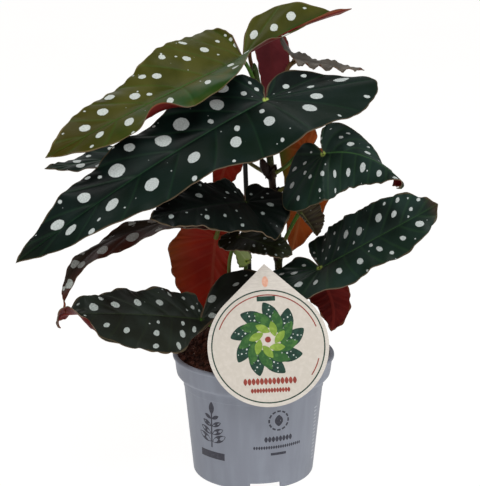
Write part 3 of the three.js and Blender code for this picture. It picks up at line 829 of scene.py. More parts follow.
def rod(route, radii, material, sides=16, count=24):
    """A closed tube through the points of a route, in millimetres, its radius as given along it."""
    line = points_along(smooth_line(route), np.linspace(0, 1, count))
    places = np.linspace(0, 1, len(radii))
    data = bpy.data.curves.new("rod", "CURVE")
    data.dimensions = "3D"
    data.bevel_depth = MM
    data.bevel_resolution = sides // 4 - 1 if sides >= 8 else 0
    data.use_fill_caps = True
    spline = data.splines.new("POLY")
    spline.points.add(count - 1)
    for number, (point, place) in enumerate(zip(line, np.linspace(0, 1, count))):
        spline.points[number].co = (*(point * MM), 1)
        spline.points[number].radius = np.interp(place, places, radii)
    piece = bpy.data.objects.new("rod", data)
    bpy.context.scene.collection.objects.link(piece)
    pick(piece)
    bpy.ops.object.convert(target="MESH")
    piece = bpy.context.object
    piece.data.materials.clear()
    piece.data.materials.append(material)
    smooth(piece, 60)
    return piece


def grow_stalk(leaf):
    """A stalk that starts a little in from the end of the blade's midrib, and under it."""
    face = unit(np.array(leaf["face"][0], float))
    root = midrib_point(leaf, STALK_SEAT / leaf["length"]) - STALK_SEAT * face
    return rod([root, *leaf["stalk"]], STALK_RADII, STEMS[leaf["stem"]])


print("stalks are about 3 mm thick")

# %% [markdown]
# ## The leaves
# Each leaf has a row: its midrib as four points of a cubic curve, which way its upper side faces at
# the stalk and at the tip, how its halves differ from the plain outline, the way its stalk takes to
# the cane, and its skins. The numbers that shape it are the same as the plain solid's. A leaf that
# hangs with its underside to the front shows the red. Each row is grown, joined with its stalk, and
# stands for the plain leaf of the same name.

# %% The rows of the leaves
PLAIN = {
    "wide": (1, 1), "fold": ((0, 0), (0, 0)), "hand": 1, "cup": 0, "pinch": 0, "reach": 0.35,
    "shoulder": 0, "blunt": (0, 0), "hip": (0, 0), "ear": 1, "swing": 0, "taper": 0, "lift": 0, "sag": 0,
    "twist": 1, "tip_roll": None, "curls": (), "wave": (0.02, 0.02), "waves": (4, 4), "phase": (0, 0.3),
    "teeth": 0.6, "crumple": 0, "frill": 0.35, "largest": 5.4, "spotted": 1,
    "upper": "dark", "under": "wine", "stem": "green",
}
LEAVES = {
    "leaf_top": dict(
        rib=((-8, -5, 312), (-45, -25, 297), (-86, -45, 280), (-143, -60, 251)),
        face=((-0.2, -0.45, 0.87), (-0.3, -0.6, 0.7)), wide=(0.69, 0.9), fold=((45, 2), (19, 13)),
        ear=1.96, swing=0.94, taper=0.89, pinch=0.75, reach=0.175, hip=(0.74, 0.47), blunt=(0.8, 0),
        cup=0.3, lift=0.126, sag=0.262, wave=(0.015, 0.031), waves=(6.6, 2.4), phase=(0.97, 0.11),
        curls=((0, 0.44, 0.2, 0.45, -85), (0, 0.8, 0.05, 0.65, 170)),
        stalk=((-5, 1, 305), (-1, 5, 296), (3, 5.5, 286)), upper="olive", largest=4.2),
    "leaf_great": dict(
        rib=((8, -20, 284), (-45, -40, 259), (-99, -65, 229), (-163, -80, 182)),
        face=((-0.25, -0.55, 0.8), (-0.3, -0.7, 0.6)), wide=(0.9, 0.6), fold=((12, 12), (20, 20)), ear=1.2,
        swing=-0.2, taper=0.35, cup=0.3, lift=-0.18, sag=0.2, wave=(0.018, 0.018), waves=(5, 5),
        stalk=((11, -12, 270), (11, -2, 256), (11, 5, 244)), largest=6.4),
    "leaf_back_left": dict(
        rib=((-10, 35, 252), (-54, 25, 241), (-104, 10, 235), (-151, 0, 231)),
        face=((-0.2, -0.5, 0.8), (-0.2, -0.3, 0.9)), wide=(0.6, 0.6), ear=0.5, teeth=1,
        stalk=((-5, 33, 242), (4, 18, 238), (11, 5, 241))),
    "leaf_right": dict(
        rib=((48, -38, 249), (67, -46, 255), (89, -63, 253), (108, -86, 229)),
        face=((-0.1, -0.8, 0.5), (0.5, -0.4, 0.7)), wide=(1.2, 0.89), hip=(0.3, 0.43), hand=-1,
        blunt=(-0.7, -0.7), shoulder=-0.22, ear=1.53, swing=-0.53, taper=0.13, pinch=0.14, reach=0.39,
        sag=0.25, cup=0.37, lift=-0.25, fold=((16, -50), (40, -49)), wave=(0.013, 0.02), phase=(0.64, 0.3),
        tip_roll=(0.86, -130, 75), stalk=((43, -25, 236), (30, -8, 222), (15, 3, 212)), upper="painted_light_slate",
        largest=3.8),
    "leaf_low_right": dict(
        rib=((48, -15, 160), (71, -33, 179), (98, -47, 198), (128, -45, 215)),
        face=((0.2, -0.6, 0.75), (0.3, -0.6, 0.7)), wide=(1.1, 1.02), hip=(0, 0.4), hand=-1,
        blunt=(0.9, 0.9), shoulder=0.35, ear=1.3, swing=-0.15, taper=0.4, lift=0.5,
        fold=((20, 0), (0, 15)), wave=(0.03, 0.006), waves=(6, 6),
        stalk=((41, -9, 149), (31, -3, 141), (19, 0, 134)), upper="painted_light_slate", crumple=1.5, largest=3.8),
    "leaf_middle": dict(
        rib=((-6, -30, 213), (-24, -50, 217), (-51, -72, 218), (-71, -80, 213)),
        face=((0, -0.65, 0.75), (-0.3, -0.6, 0.7)), wide=(1.45, 1), fold=((0, 0), (10, 10)), ear=1.2,
        taper=0.6, lift=0.47, wave=(0.03, 0.03), stalk=((1, -18, 202), (10, -6, 193), (17, 1, 190)),
        upper="painted_shade_black", largest=3.2, spotted=0.6),
    "leaf_arching": dict(
        rib=((-28, 0, 197), (-74, -20, 200), (-146, -60, 184), (-128, -84, 147)),
        face=((0, -0.35, 0.95), (0.6, 0.6, 0.3)), wide=(0.42, 0.2), blunt=(-0.8, -0.8), twist=10,
        fold=((12, 0), (12, 0)), ear=0.35, stalk=((-20, 2, 192), (0, 4, 197), (14, 3, 208)),
        upper="ruddy"),
    "leaf_low_left": dict(
        rib=((-38, -36, 128), (-66, -54, 137), (-107, -75, 146), (-143, -81, 145)),
        face=((0, -0.7, 0.6), (-0.1, -0.7, 0.7)), wide=(1.35, 0.75), fold=((0, 16), (0, 0)), pinch=0.85,
        ear=1.25, swing=0.8, taper=0.3, lift=0.7, tip_roll=(0.88, -130, -75),
        curls=((0, 0.87, 0.03, 0.7, 130),), wave=(0.03, 0.03), waves=(5, 5), teeth=1.5,
        stalk=((-31, -31, 122), (-21, -14, 116), (-14.5, -4.2, 112)), upper="brown", largest=3.6),
    "leaf_small": dict(
        rib=((-11, -20, 185), (1, -30, 185), (15, -38, 182), (27, -40, 177)),
        face=((0, -0.6, 0.8), (0, -0.6, 0.8)), wide=(1.05, 1.05), blunt=(0.9, 0.9), hand=-1,
        stalk=((-15, -13, 175), (-18, -4, 157), (-16, -6, 131)), upper="murky", largest=2.8, spotted=0.6),
    "leaf_hanging_left": dict(
        rib=((-28, 20, 175), (-30, 24, 158), (-31, 24, 134), (-33, 18, 110)),
        face=((-0.1, 1, 0.2), (-0.1, 1, -0.1)), wide=(2.3, 0.8), hip=(-0.42, 0), fold=((0, 0), (-10, -20)),
        blunt=(0.3, 0.3), ear=0.6, stalk=((-22, 15, 187), (-3, 13, 190), (17, 1, 189)), under="brick"),
    "leaf_hanging_top": dict(
        rib=((12, 40, 322), (14, 48, 301), (15, 52, 280), (12, 45, 258)),
        face=((0.2, 0.9, 0.3), (0.2, 0.9, 0.3)), wide=(0.7, 0.84), ear=0.6,
        stalk=((3, 34, 324), (-3, 20, 312), (0, 10, 298), (4.5, 5.5, 284)), under="maroon", stem="brown"),
    "leaf_hanging_back": dict(
        rib=((-18, 52, 240), (-19, 56, 228), (-22, 56, 215), (-28, 52, 202)),
        face=((0, 1, 0.2), (0, 1, 0)), wide=(1.3, 1.4),
        stalk=((-16, 47, 237), (-3, 27, 229), (13, 4, 224)), under="brick"),
    "leaf_crinkled": dict(
        rib=((29, 23, 307), (43, 23, 304), (60, 22, 302), (80, 21, 299)),
        face=((0, -0.15, 1), (0, -0.15, 1)), wide=(0.9, 0.9), lift=0.9, wave=(0.03, 0.04), waves=(4.3, 6),
        ear=0.8, stalk=((24, 20, 299), (16, 12, 276), (8, 5, 262)), upper="dry_and_sheen", stem="brown", crumple=1.5,
        largest=0),
    "leaf_hanging_right": dict(
        rib=((38, 25, 239), (39, 28, 212), (35, 28, 185), (28, 24, 162)),
        face=((0.1, 1, 0.2), (0.1, 1, 0)), wide=(0.78, 1), hip=(0, 0.7),
        stalk=((33, 17, 238), (23, 9, 230), (13, 4, 225)), under="painted_glow_amber"),
    "leaf_young": dict(
        rib=((34, 0, 199), (38, 4, 192), (43, 9, 186), (47, 12, 177)),
        face=((0.4, -0.9, 0.2), (0.4, -0.9, 0.2)), wide=(0.3, 2.2), blunt=(0.7, 0.7), teeth=0.2, hand=-1,
        stalk=((31, 1, 194), (24, 1, 180), (18, 0, 166)), upper="young", largest=2.4, spotted=0.5),
    "leaf_hanging_low": dict(
        rib=((53, 15, 139), (59, 15, 129), (62, 12, 119), (58, 8, 105)), face=((0, 1, 0.3), (0, 1, 0)),
        wide=(1.6, 1.7), stalk=((46, 10, 140), (33, 5, 125), (18, 0, 106))),
    "leaf_pale": dict(
        rib=((-5, -3, 162), (-8, -4, 167), (-12, -4, 171), (-15, -3, 177)),
        face=((0.1, -1, 0.2), (0.1, -1, 0.2)), wide=(1.2, 1.2), ear=0.5,
        stalk=((-6, -1, 153), (-9, 0, 134), (-14.5, -4.2, 113)), upper="pale", under="green", largest=0),
}
print("leaves:", len(LEAVES))

# %% [markdown]
# Growing a leaf is now one short function. The seed of its random draws is its place in the list,
# so the same plant grows each time.


def grow_leaf(name, row, seed):
    leaf = {**PLAIN, **row, "seed": seed}
    line = midrib_point(leaf, np.linspace(0, 1, 200))
    leaf["length"] = float(np.linalg.norm(np.diff(line, axis=0), axis=1).sum())
    leaf["edges"] = (half_edge(0, leaf), half_edge(1, leaf))
    leaf["scale"] = [np.array([leaf["length"], leaf["length"] * wide]) for wide in leaf["wide"]]
    leaf_piece = join([grow_blade(leaf), grow_stalk(leaf)])
    return settle(leaf_piece, "grown_" + name, [name])


grown = [grow_leaf(name, row, seed) for seed, (name, row) in enumerate(LEAVES.items(), 1)]
print("grown leaves:", len(grown))

# %% [markdown]
# ## Canes
# The cane is the begonia's trunk, thick and jointed like bamboo. At each joint a leaf stalk leaves,
# the cane swells, and a fallen scale has left a narrow ring. The same rod makes it, with a radius
# that swells near each joint. Two canes grow here: the main one, and a short one for the low leaves.

# %% Canes and their joints
CANE_RADIUS = 3.0
CANE_NARROWING = 0.22
CANE_END = (0.9, 0.65, 0.25)
CANE_FOOT = 45
# height or depth, and length along the cane
JOINT_SWELLING = (0.75, 2.4)
SCALE_RING = (0.3, 0.7)
RING_ABOVE = 2.6
MAIN_ROUTE = [
    (16, 0, CANE_FOOT), (17, 0, 87), (19, 0, 132), (18, 0, 164), (17, 1, 188), (14, 3, 214),
    (11, 5, 243), (7, 5, 272), (2, 6, 294), (0, 6, 306),
]
SHORT_ROUTE = [(-12, -4, CANE_FOOT), (-13, -4, 88), (-14, -4, 110), (-16, -6, 132)]
MAIN_JOINTS = [
    (18, 0, 105), (19, 0, 134), (18, 0, 164), (17, 1, 190), (14.5, 3, 211), (13, 4, 225),
    (11, 5, 243), (8, 5, 262), (4.5, 5.5, 283),
]
SHORT_JOINTS = [(-13.5, -4, 98), (-14.5, -4.2, 112), (-16, -6, 131)]
BUD = [(13, 3, 222), (9, 1, 228), (6, 0, 236), (5, -0.5, 239)]
BUD_RADII = (2.2, 2.5, 3.1, 3.3, 2.4, 0.5)
BUD_SCALES = [((12, 2, 223), -0.9, -0.5), ((9, 1, 228), 1.9, 0.4)]


def grow_cane(route, joints, radius):
    """A cane that narrows to its end, swollen at each joint and ringed just above it."""
    count = 8 * len(route) + 60
    line = points_along(smooth_line(route), np.linspace(0, 1, count))
    radii = radius * (1 - CANE_NARROWING * np.linspace(0, 1, count) ** 2)
    for joint in joints:
        above = line[:, 2] - joint[2]
        radii += bell(above, *JOINT_SWELLING) - bell(above - RING_ABOVE, *SCALE_RING)
    radii[-3:] *= CANE_END
    return rod(route, radii, STEMS["cane"], sides=24, count=count)


print("joints on the canes:", len(MAIN_JOINTS), "and", len(SHORT_JOINTS))

# %% [markdown]
# Papery brown scales wrapped each joint while it was soft, and some are still there, with their
# tips curled out. One scale is modelled from a grid: its sides are wrapped round the cane, its
# width runs out to a point, and a Solidify modifier makes it paper-thin. The rest are copies.

# %% Papery scales at the joints
SCALE_LENGTH = 9
SCALE_WRAP = 2.4
SCALE_THICKNESS = 0.35
MAIN_TILT = 0.12
SHORT_TILT = 0.1


def scale_leaf():
    """One pointed scale that stands at the origin and clasps a cane along z."""
    scale = primitive("grid", x_subdivisions=10, y_subdivisions=10, size=1)
    for vertex in scale.data.vertices:
        up = vertex.co.y + 0.5
        angle = vertex.co.x * SCALE_WRAP * (1 - up ** 2)
        gap = CANE_RADIUS + 0.5 + 2.2 * up ** 3
        vertex.co = (gap * math.sin(angle), -gap * math.cos(angle), SCALE_LENGTH * up - 1.5)
    scale.data.transform(MM_SCALE)
    scale.data.materials.append(STEMS["scale"])
    apply_modifier(scale, "SOLIDIFY", thickness=SCALE_THICKNESS * MM, offset=0)
    pick(scale)
    bpy.ops.object.shade_smooth()
    return scale


def place_copies(model, places):
    """Copies of a model, each tilted, turned about z and moved, with a mesh of its own."""
    copies = []
    for point, turn, tilt in places:
        copy = model.copy()
        copy.data = model.data.copy()
        bpy.context.scene.collection.objects.link(copy)
        turned = Matrix.Rotation(turn, 4, "Z") @ Matrix.Rotation(tilt, 4, "X")
        copy.data.transform(Matrix.Translation(Vector(point) * MM) @ turned)
        copies.append(copy)
    return copies


dice = np.random.default_rng(3)
scale_model = scale_leaf()
main_scales = place_copies(scale_model,
                           [(joint, dice.random() * TURN, MAIN_TILT) for joint in MAIN_JOINTS])
short_scales = place_copies(scale_model,
                            [(joint, dice.random() * TURN, SHORT_TILT) for joint in SHORT_JOINTS])
bud_scales = place_copies(scale_model, BUD_SCALES)
bpy.data.objects.remove(scale_model)
bud = rod(BUD, BUD_RADII, STEMS["scale"], count=18)
main_cane = grow_cane(MAIN_ROUTE, MAIN_JOINTS, CANE_RADIUS)
short_cane = grow_cane(SHORT_ROUTE, SHORT_JOINTS, CANE_RADIUS - 0.4)
main_cane = join([main_cane, bud, *main_scales, *bud_scales])
short_cane = join([short_cane, *short_scales])
for cane, node in ((main_cane, "main_cane"), (short_cane, "short_cane")):
    settle(cane, "grown_" + node, [node])

# %% [markdown]
# ## Support stick
# Growers push a thin black rod into the pot to keep the cane upright. It is drawn polystyrene:
# plain, straight, satin, with fine scratches along it and a slightly rounded end.

# %% Support stick
STICK = [(2, 1, 20), (-2.5, 5, 136), (-7, 9, 252)]
STICK_RADII = [1.75] * 30 + [1.5, 0.9]

black_plastic, tree, shader = finish("polystyrene_rod_drawn", specular_ior_level=0.2)
place = add(tree, "ShaderNodeTexCoord", {}, out="Object")
scratches = add(tree, "ShaderNodeMapping", {"Vector": place, "Scale": (1500, 1500, 40)})
wear = add(tree, "ShaderNodeTexNoise", {"Vector": scratches, "Scale": 1.0, "Detail": 3.0})
gloss = add(tree, "ShaderNodeMapRange", {0: wear, 3: 0.3, 4: 0.5})
tree.links.new(paint(tree, "0d0d0c", "1b1a18", wear, 0.4, 0.7), shader.inputs["Base Color"])
tree.links.new(gloss, shader.inputs["Roughness"])
stick = rod(STICK, STICK_RADII, black_plastic, sides=24, count=64)
settle(stick, "drawn_support_stick", ["support_stick"])

# %% [markdown]
# ## Pot
# A nursery pot is injection moulded in one go: a thin tapered wall, a stiff band at the rim, a foot
# ring with notches that let water out, and holes in its floor. It is drawn as half a section, one
# extruded edge after another, and spun once round. Its sharp turns are then bevelled, and boxes and
# cylinders are cut away for the notches and holes.

# %% Pot section and its spin
POT_HEIGHT = 92
RIM_RADIUS = 60
BAND_RADIUS = 58.6
BAND_DEPTH = 17
NECK_RADIUS = 53
FOOT_RADIUS = 45
WALL = 1.8
FOOT_RING = 4
FOOT_HEIGHT = 5.2
PAD_RADIUS = 14
SHOULDER = POT_HEIGHT - BAND_DEPTH


def draw_section(points):
    """A chain of edges in the plane of x and z, in millimetres, drawn by extruding a corner."""
    piece = primitive("plane", size=MM, location=(points[0][0] * MM, 0, points[0][1] * MM))
    bpy.ops.object.transform_apply(location=True)
    with editing():
        bpy.ops.mesh.merge(type="CENTER")
        for (x, z), (next_x, next_z) in zip(points, points[1:]):
            step = ((next_x - x) * MM, 0, (next_z - z) * MM)
            bpy.ops.mesh.extrude_region_move(TRANSFORM_OT_translate={"value": step})
    return piece


def spin_section(points, steps):
    piece = draw_section(points)
    with editing():
        bpy.ops.mesh.spin(steps=steps, angle=TURN, center=(0, 0, 0), axis=(0, 0, 1))
        bpy.ops.mesh.select_all(action="SELECT")
        bpy.ops.mesh.remove_doubles(threshold=0.01 * MM)
        bpy.ops.mesh.normals_make_consistent(inside=False)
    return piece


# the print is wrapped round the straight wall between these two points of the section
WALL_FOOT = (FOOT_RADIUS, 1.5)
WALL_TOP = (NECK_RADIUS - 1.3, SHOULDER - 7.4)
POT_SECTION = [
    # the pad in the middle, the hollow round it and the foot ring
    (0, 0), (PAD_RADIUS, 0), (PAD_RADIUS + 1.5, FOOT_HEIGHT), (FOOT_RADIUS - FOOT_RING - 1, FOOT_HEIGHT),
    (FOOT_RADIUS - FOOT_RING, 0), (FOOT_RADIUS - 1, 0), WALL_FOOT,
    # up the outside, past a thin step, to the shoulder under the rim band
    WALL_TOP, (NECK_RADIUS - 0.9, SHOULDER - 7), (NECK_RADIUS - 0.6, SHOULDER - 3),
    (NECK_RADIUS, SHOULDER - 1), (BAND_RADIUS - 3.2, SHOULDER), (BAND_RADIUS - 1.6, SHOULDER + 2),
    # up the rim band, out to the lip and over it
    (BAND_RADIUS - 1, SHOULDER + 5), (BAND_RADIUS, POT_HEIGHT - 3), (RIM_RADIUS, POT_HEIGHT - 2),
    (RIM_RADIUS, POT_HEIGHT - 0.8), (RIM_RADIUS - 0.7, POT_HEIGHT), (BAND_RADIUS - WALL, POT_HEIGHT),
    # down the inside to the floor
    (BAND_RADIUS - WALL - 1, SHOULDER + 5), (BAND_RADIUS - WALL - 2.4, SHOULDER + 2.6),
    (NECK_RADIUS - WALL - 0.4, SHOULDER + 1), (FOOT_RADIUS - 1, FOOT_HEIGHT + WALL), (0, FOOT_HEIGHT + WALL),
]
POT_BEVEL = 0.35
SHARP_TURN = math.radians(25)

pot = spin_section(POT_SECTION, 160)
apply_modifier(pot, "BEVEL", width=POT_BEVEL * MM, segments=2, limit_method="ANGLE", angle_limit=SHARP_TURN)
print("pot faces after the spin and the bevel:", len(pot.data.polygons))

# %% [markdown]
# The cutters are ordinary primitives. They are placed, joined to one piece, used by a Boolean
# modifier and removed.

# %% Notches and drain holes
NOTCH_WIDTH = 23
NOTCH_TURNS = (0.5, 0.83, 0.17)
NOTCH_SHIFT = 0.2
DRAINS = 6
DRAIN_RADIUS = 4
DRAIN_CIRCLE = 28
DRILL_LENGTH = 20

cutters = []
for share in NOTCH_TURNS:
    angle = TURN * share + NOTCH_SHIFT
    reach = FOOT_RADIUS - FOOT_RING / 2
    place = (-reach * math.sin(angle) * MM, reach * math.cos(angle) * MM, 0)
    notch = primitive("cube", size=1, rotation=(0, 0, angle), location=place)
    notch.scale = (NOTCH_WIDTH * MM, 4 * FOOT_RING * MM, 2 * FOOT_HEIGHT * MM)
    cutters.append(notch)
for angle in angles_round(DRAINS, 0.5):
    place = (DRAIN_CIRCLE * math.cos(angle) * MM, DRAIN_CIRCLE * math.sin(angle) * MM, FOOT_HEIGHT * MM)
    cutters.append(primitive("cylinder", vertices=32, radius=DRAIN_RADIUS * MM, depth=DRILL_LENGTH * MM,
                             location=place))
cutter = join(cutters)
apply_modifier(pot, "BOOLEAN", operation="DIFFERENCE", object=cutter, solver="EXACT")
bpy.data.objects.remove(cutter)
smooth(pot, 35)
print("cut away:", len(NOTCH_TURNS), "notches and", DRAINS, "holes")

# %% [markdown]
# The pot is recycled polypropylene, blue-grey and matt from a lightly etched mould. Molten plastic
# flows up the wall and leaves faint upright streaks, and recycled stock is a little cloudy.

# %% Pot plastic
plastic, tree, shader = finish("polypropylene_recycled_moulded", roughness=0.5, specular_ior_level=0.12)
place = add(tree, "ShaderNodeTexCoord", {}, out="Object")
upright = add(tree, "ShaderNodeMapping", {"Vector": place, "Scale": (1, 1, 0.12)})
streaks = add(tree, "ShaderNodeTexNoise", {"Vector": upright, "Scale": 160.0, "Detail": 4.0})
clouds = add(tree, "ShaderNodeTexNoise", {"Vector": place, "Scale": 30.0, "Detail": 3.0})
skin = paint(tree, "888c97", "8e939e", streaks, 0.35, 0.7)
skin = paint(tree, skin, "7f838d", clouds, 0.5, 0.8, 0.5)
etch = add(tree, "ShaderNodeTexNoise", {"Vector": place, "Scale": 1800.0, "Detail": 2.0})
both = add(tree, "ShaderNodeMath", {0: streaks, 1: 0.5, 2: etch}, operation="MULTIPLY_ADD")
cover(tree, shader, skin, both, 0.12, 0.06)
pot.data.materials.append(plastic)
settle(pot, "moulded_pot", ["pot"])

# %% [markdown]
# ## Print on the pot
# The front of the pot has a dark one-colour print. Here it is a plain sprig over a bar, and a ring
# of dashes round a leaf over two rows of small leaves and a bar. A pale ladder of bars stands at the
# side. Each mark is a flat primitive of unit size, laid out on a strip of paper as it were: x is the
# way round the pot, y the height.

# %% Marks of the print
SPRIG_X = -33
RING_X = 18.5
LADDER_X = 57


def lay_flat(mark, centre, width, height, turn):
    """Gives a flat mark of unit size its size, turn and place in millimetres."""
    size = Matrix.Diagonal((width, height, 1, 1))
    mark.data.transform(Matrix.Translation((*centre, 0)) @ Matrix.Rotation(turn, 4, "Z") @ size)
    return mark


def unit_disc(sides=28):
    return primitive("circle", vertices=sides, radius=0.5, fill_type="TRIFAN")


def flat_oval(centre, width, height, sides=28):
    """A filled oval in the plane of x and y."""
    return lay_flat(unit_disc(sides), centre, width, height, 0)


def flat_leaf(centre, length, width, turn=0.0):
    """A filled leaf shape with two points, its length along the turned x."""
    leaf = unit_disc()
    for vertex in leaf.data.vertices:
        pointed = 1 - min(1, abs(vertex.co.x) * 2) ** 2.2
        vertex.co.y *= 0.55 + 0.45 * pointed if abs(vertex.co.x) < 0.49 else 0
    return lay_flat(leaf, centre, length, width, turn)


def flat_bar(centre, width, height, turn=0.0):
    """A filled bar, split every millimetre or so, so that it can wrap."""
    bar = primitive("grid", x_subdivisions=max(2, round(width)), y_subdivisions=2, size=1)
    return lay_flat(bar, centre, width, height, turn)


def sprig(centre, height):
    """A plain upright sprig: a stem, pairs of oval leaflets and one at the top."""
    x, y = centre
    marks = [flat_bar((x, y), 1.2, height)]
    for row, share in enumerate((-0.36, -0.17, 0.02, 0.2)):
        reach = 0.38 * height * (1 - 0.16 * row)
        for way in (-1, 1):
            leaflet = (x + way * reach * 0.5, y + share * height + 0.25 * reach)
            marks.append(flat_leaf(leaflet, reach, 0.45 * reach, way * 0.5))
    marks.append(flat_leaf((x, y + 0.46 * height), 0.3 * height, 0.14 * height, math.pi / 2))
    return marks


def dashed_ring(centre, radius, dashes):
    marks = []
    for angle in angles_round(dashes):
        place = (centre[0] + radius * math.cos(angle), centre[1] + radius * math.sin(angle))
        marks.append(flat_bar(place, 0.7 * TURN * radius / dashes, 1.3, angle + math.pi / 2))
    return marks


def leaf_row(centre, width, height, count):
    """A row of small upright leaf shapes, evenly spaced."""
    steps = np.linspace(-0.5, 0.5, count) * (width - 0.6 * height)
    return [flat_leaf((centre[0] + step, centre[1]), height, 0.55 * height, math.pi / 2) for step in steps]


left_marks = sprig((SPRIG_X, 47), 33) + [flat_bar((SPRIG_X, 24.5), 22, 5.6)]
right_marks = dashed_ring((RING_X, 55), 7.4, 12) + [flat_leaf((RING_X, 55), 9, 6.4, math.pi / 2)]
right_marks += leaf_row((RING_X, 40.5), 22, 4.6, 8) + leaf_row((RING_X, 34), 38, 2.8, 21)
right_marks += [flat_bar((RING_X, 28.5), 12, 2)]
pale_marks = [flat_bar((LADDER_X, height), 4.4, 1.1) for height in range(14, 58, 3)]
print("marks:", len(left_marks) + len(right_marks) + len(pale_marks))

# %% [markdown]
# The strip is now wrapped round the wall: its x becomes a way round the cone at each height. A
# Solidify modifier gives the ink a body, so that it stays on top of the plastic. The ink is a little
# worn, as pad printing on a rough wall is.

# %% Wrap the print round the wall
INK_THICKNESS = 0.12
INK_GAP = 0.02


def wrap_print(marks, name, code, worn_code):
    """Marks as one thin layer of ink on the pot's wall."""
    layer = join(marks)
    (foot_radius, foot_height), (top_radius, top_height) = WALL_FOOT, WALL_TOP
    for vertex in layer.data.vertices:
        height = vertex.co.y
        share = (height - foot_height) / (top_height - foot_height)
        wall_radius = foot_radius + (top_radius - foot_radius) * share
        angle = vertex.co.x / wall_radius
        out = wall_radius + INK_GAP
        vertex.co = (out * math.sin(angle), -out * math.cos(angle), height)
    layer.data.transform(MM_SCALE)
    ink, tree, shader = finish(name, roughness=0.5, specular_ior_level=0.4)
    place = add(tree, "ShaderNodeTexCoord", {}, out="Object")
    worn = add(tree, "ShaderNodeTexNoise", {"Vector": place, "Scale": 700.0, "Detail": 3.0})
    thin = paint(tree, code, worn_code, worn, 0.45, 0.75)
    tree.links.new(thin, shader.inputs["Base Color"])
    layer.data.materials.append(ink)
    apply_modifier(layer, "SOLIDIFY", thickness=INK_THICKNESS * MM, offset=-1)
    return layer


dark_print = wrap_print(left_marks + right_marks, "pad_printed_ink_slate", "2e2e3a", "40414e")
pale_print = wrap_print(pale_marks, "pad_printed_ink_pale", "a9adb6", "9a9ea8")
settle(join([dark_print, pale_print]), "pot_print")

# %% [markdown]
# ## Soil
# Potting peat is dark, crumbly and never level: it is heaped round the canes. The body is a square
# grid drawn out to a disc, with a height that follows the plain solid and a fine roughness on top.
# Its outer edge is extruded down the inside of the pot and closed below.

# %% Soil body
SOIL_TOP = 88.5
SOIL_BOTTOM = 9
SOIL_RADIUS = BAND_RADIUS - WALL - 0.7
SOIL_CELLS = 110
MOUND = {"centre": (-14, 14), "height": 25, "spread": 23}


def soil_height(x, y):
    lumps = np.sin(x * 0.61 + 1) * np.cos(y * 0.53) + 0.7 * np.sin(x * 0.23 - y * 0.37)
    off = np.hypot(x - MOUND["centre"][0], y - MOUND["centre"][1]) / MOUND["spread"]
    return SOIL_TOP + 0.9 * lumps + MOUND["height"] * np.exp(-off ** 2 / 2)


soil = primitive("grid", x_subdivisions=SOIL_CELLS, y_subdivisions=SOIL_CELLS, size=2)
for vertex in soil.data.vertices:
    x, y = vertex.co.x, vertex.co.y
    round_x = x * math.sqrt(1 - y * y / 2) * SOIL_RADIUS
    round_y = y * math.sqrt(1 - x * x / 2) * SOIL_RADIUS
    spot = Vector((round_x, round_y, 0))
    rough = 0.9 * noise.noise(spot * 0.45) + 0.7 * noise.noise(spot * 1.1) + 0.4 * noise.noise(spot * 2.3)
    vertex.co = (round_x, round_y, soil_height(round_x, round_y) + rough)
soil.data.transform(MM_SCALE)
INNER_WALL = [
    # radius and height, from the top down to the soil's underside
    (SOIL_RADIUS - 0.6, SHOULDER + 5), (BAND_RADIUS - WALL - 2.8, SHOULDER + 3),
    (NECK_RADIUS - WALL - 0.8, SHOULDER + 1), (FOOT_RADIUS - 1.2, SOIL_BOTTOM),
]
with editing():
    bpy.ops.mesh.region_to_loop()
for radius, height in INNER_WALL:
    with editing(whole=False):
        bpy.ops.mesh.extrude_region_move(TRANSFORM_OT_translate={"value": (0, 0, -MM)})
    for vertex in soil.data.vertices:
        if vertex.select:
            stretch = radius * MM / math.hypot(vertex.co.x, vertex.co.y)
            vertex.co = (vertex.co.x * stretch, vertex.co.y * stretch, height * MM)
with editing(whole=False):
    bpy.ops.mesh.edge_face_add()
with editing():
    bpy.ops.mesh.normals_make_consistent(inside=False)
print("soil faces:", len(soil.data.polygons))

# %% [markdown]
# Loose crumbs lie on the body. A few lumps are modelled from an icosphere, each dented by noise,
# and copied hundreds of times with few faces each. Most are peat, some are pale grit or bits of
# fibre, which catch the light between the dark crumbs.

# %% Crumbs, grit and fibres
CRUMB_SEEDS = (1, 2, 3)
CRUMBS_EACH = 500
GRIT = 90
FIBRES = 70


def lump(seed):
    piece = primitive("ico_sphere", subdivisions=2, radius=1)
    for vertex in piece.data.vertices:
        dent = noise.noise(vertex.co * 1.3 + Vector((seed * 7.1, 0, 0)))
        vertex.co *= 1 + 0.55 * dent
    return piece


def scatter(model, count, smallest, largest, stretch, sunk):
    """Copies of a lump over the soil as one mesh, turned and sized by a seeded draw."""
    corners = np.array([vertex.co for vertex in model.data.vertices])
    faces = np.array([face.vertices for face in model.data.polygons])
    bpy.data.objects.remove(model)
    all_corners = []
    for number in range(count):
        reach, turn, size, *turns = dice.random(6)
        radius = (SOIL_RADIUS - 1.5) * math.sqrt(reach)
        x, y = radius * math.cos(TURN * turn), radius * math.sin(TURN * turn)
        size = smallest + (largest - smallest) * size ** 2.5
        spin = np.array(Euler([TURN * value for value in turns]).to_matrix())
        shape = (corners * size * np.array(stretch)) @ spin.T
        all_corners.append(shape + (x, y, soil_height(x, y) + size * sunk))
    all_faces = np.concatenate([faces + number * len(corners) for number in range(count)])
    mesh = bpy.data.meshes.new("scattered")
    mesh.from_pydata((np.concatenate(all_corners) * MM).tolist(), [], all_faces.tolist())
    piece = bpy.data.objects.new("scattered", mesh)
    bpy.context.scene.collection.objects.link(piece)
    return piece


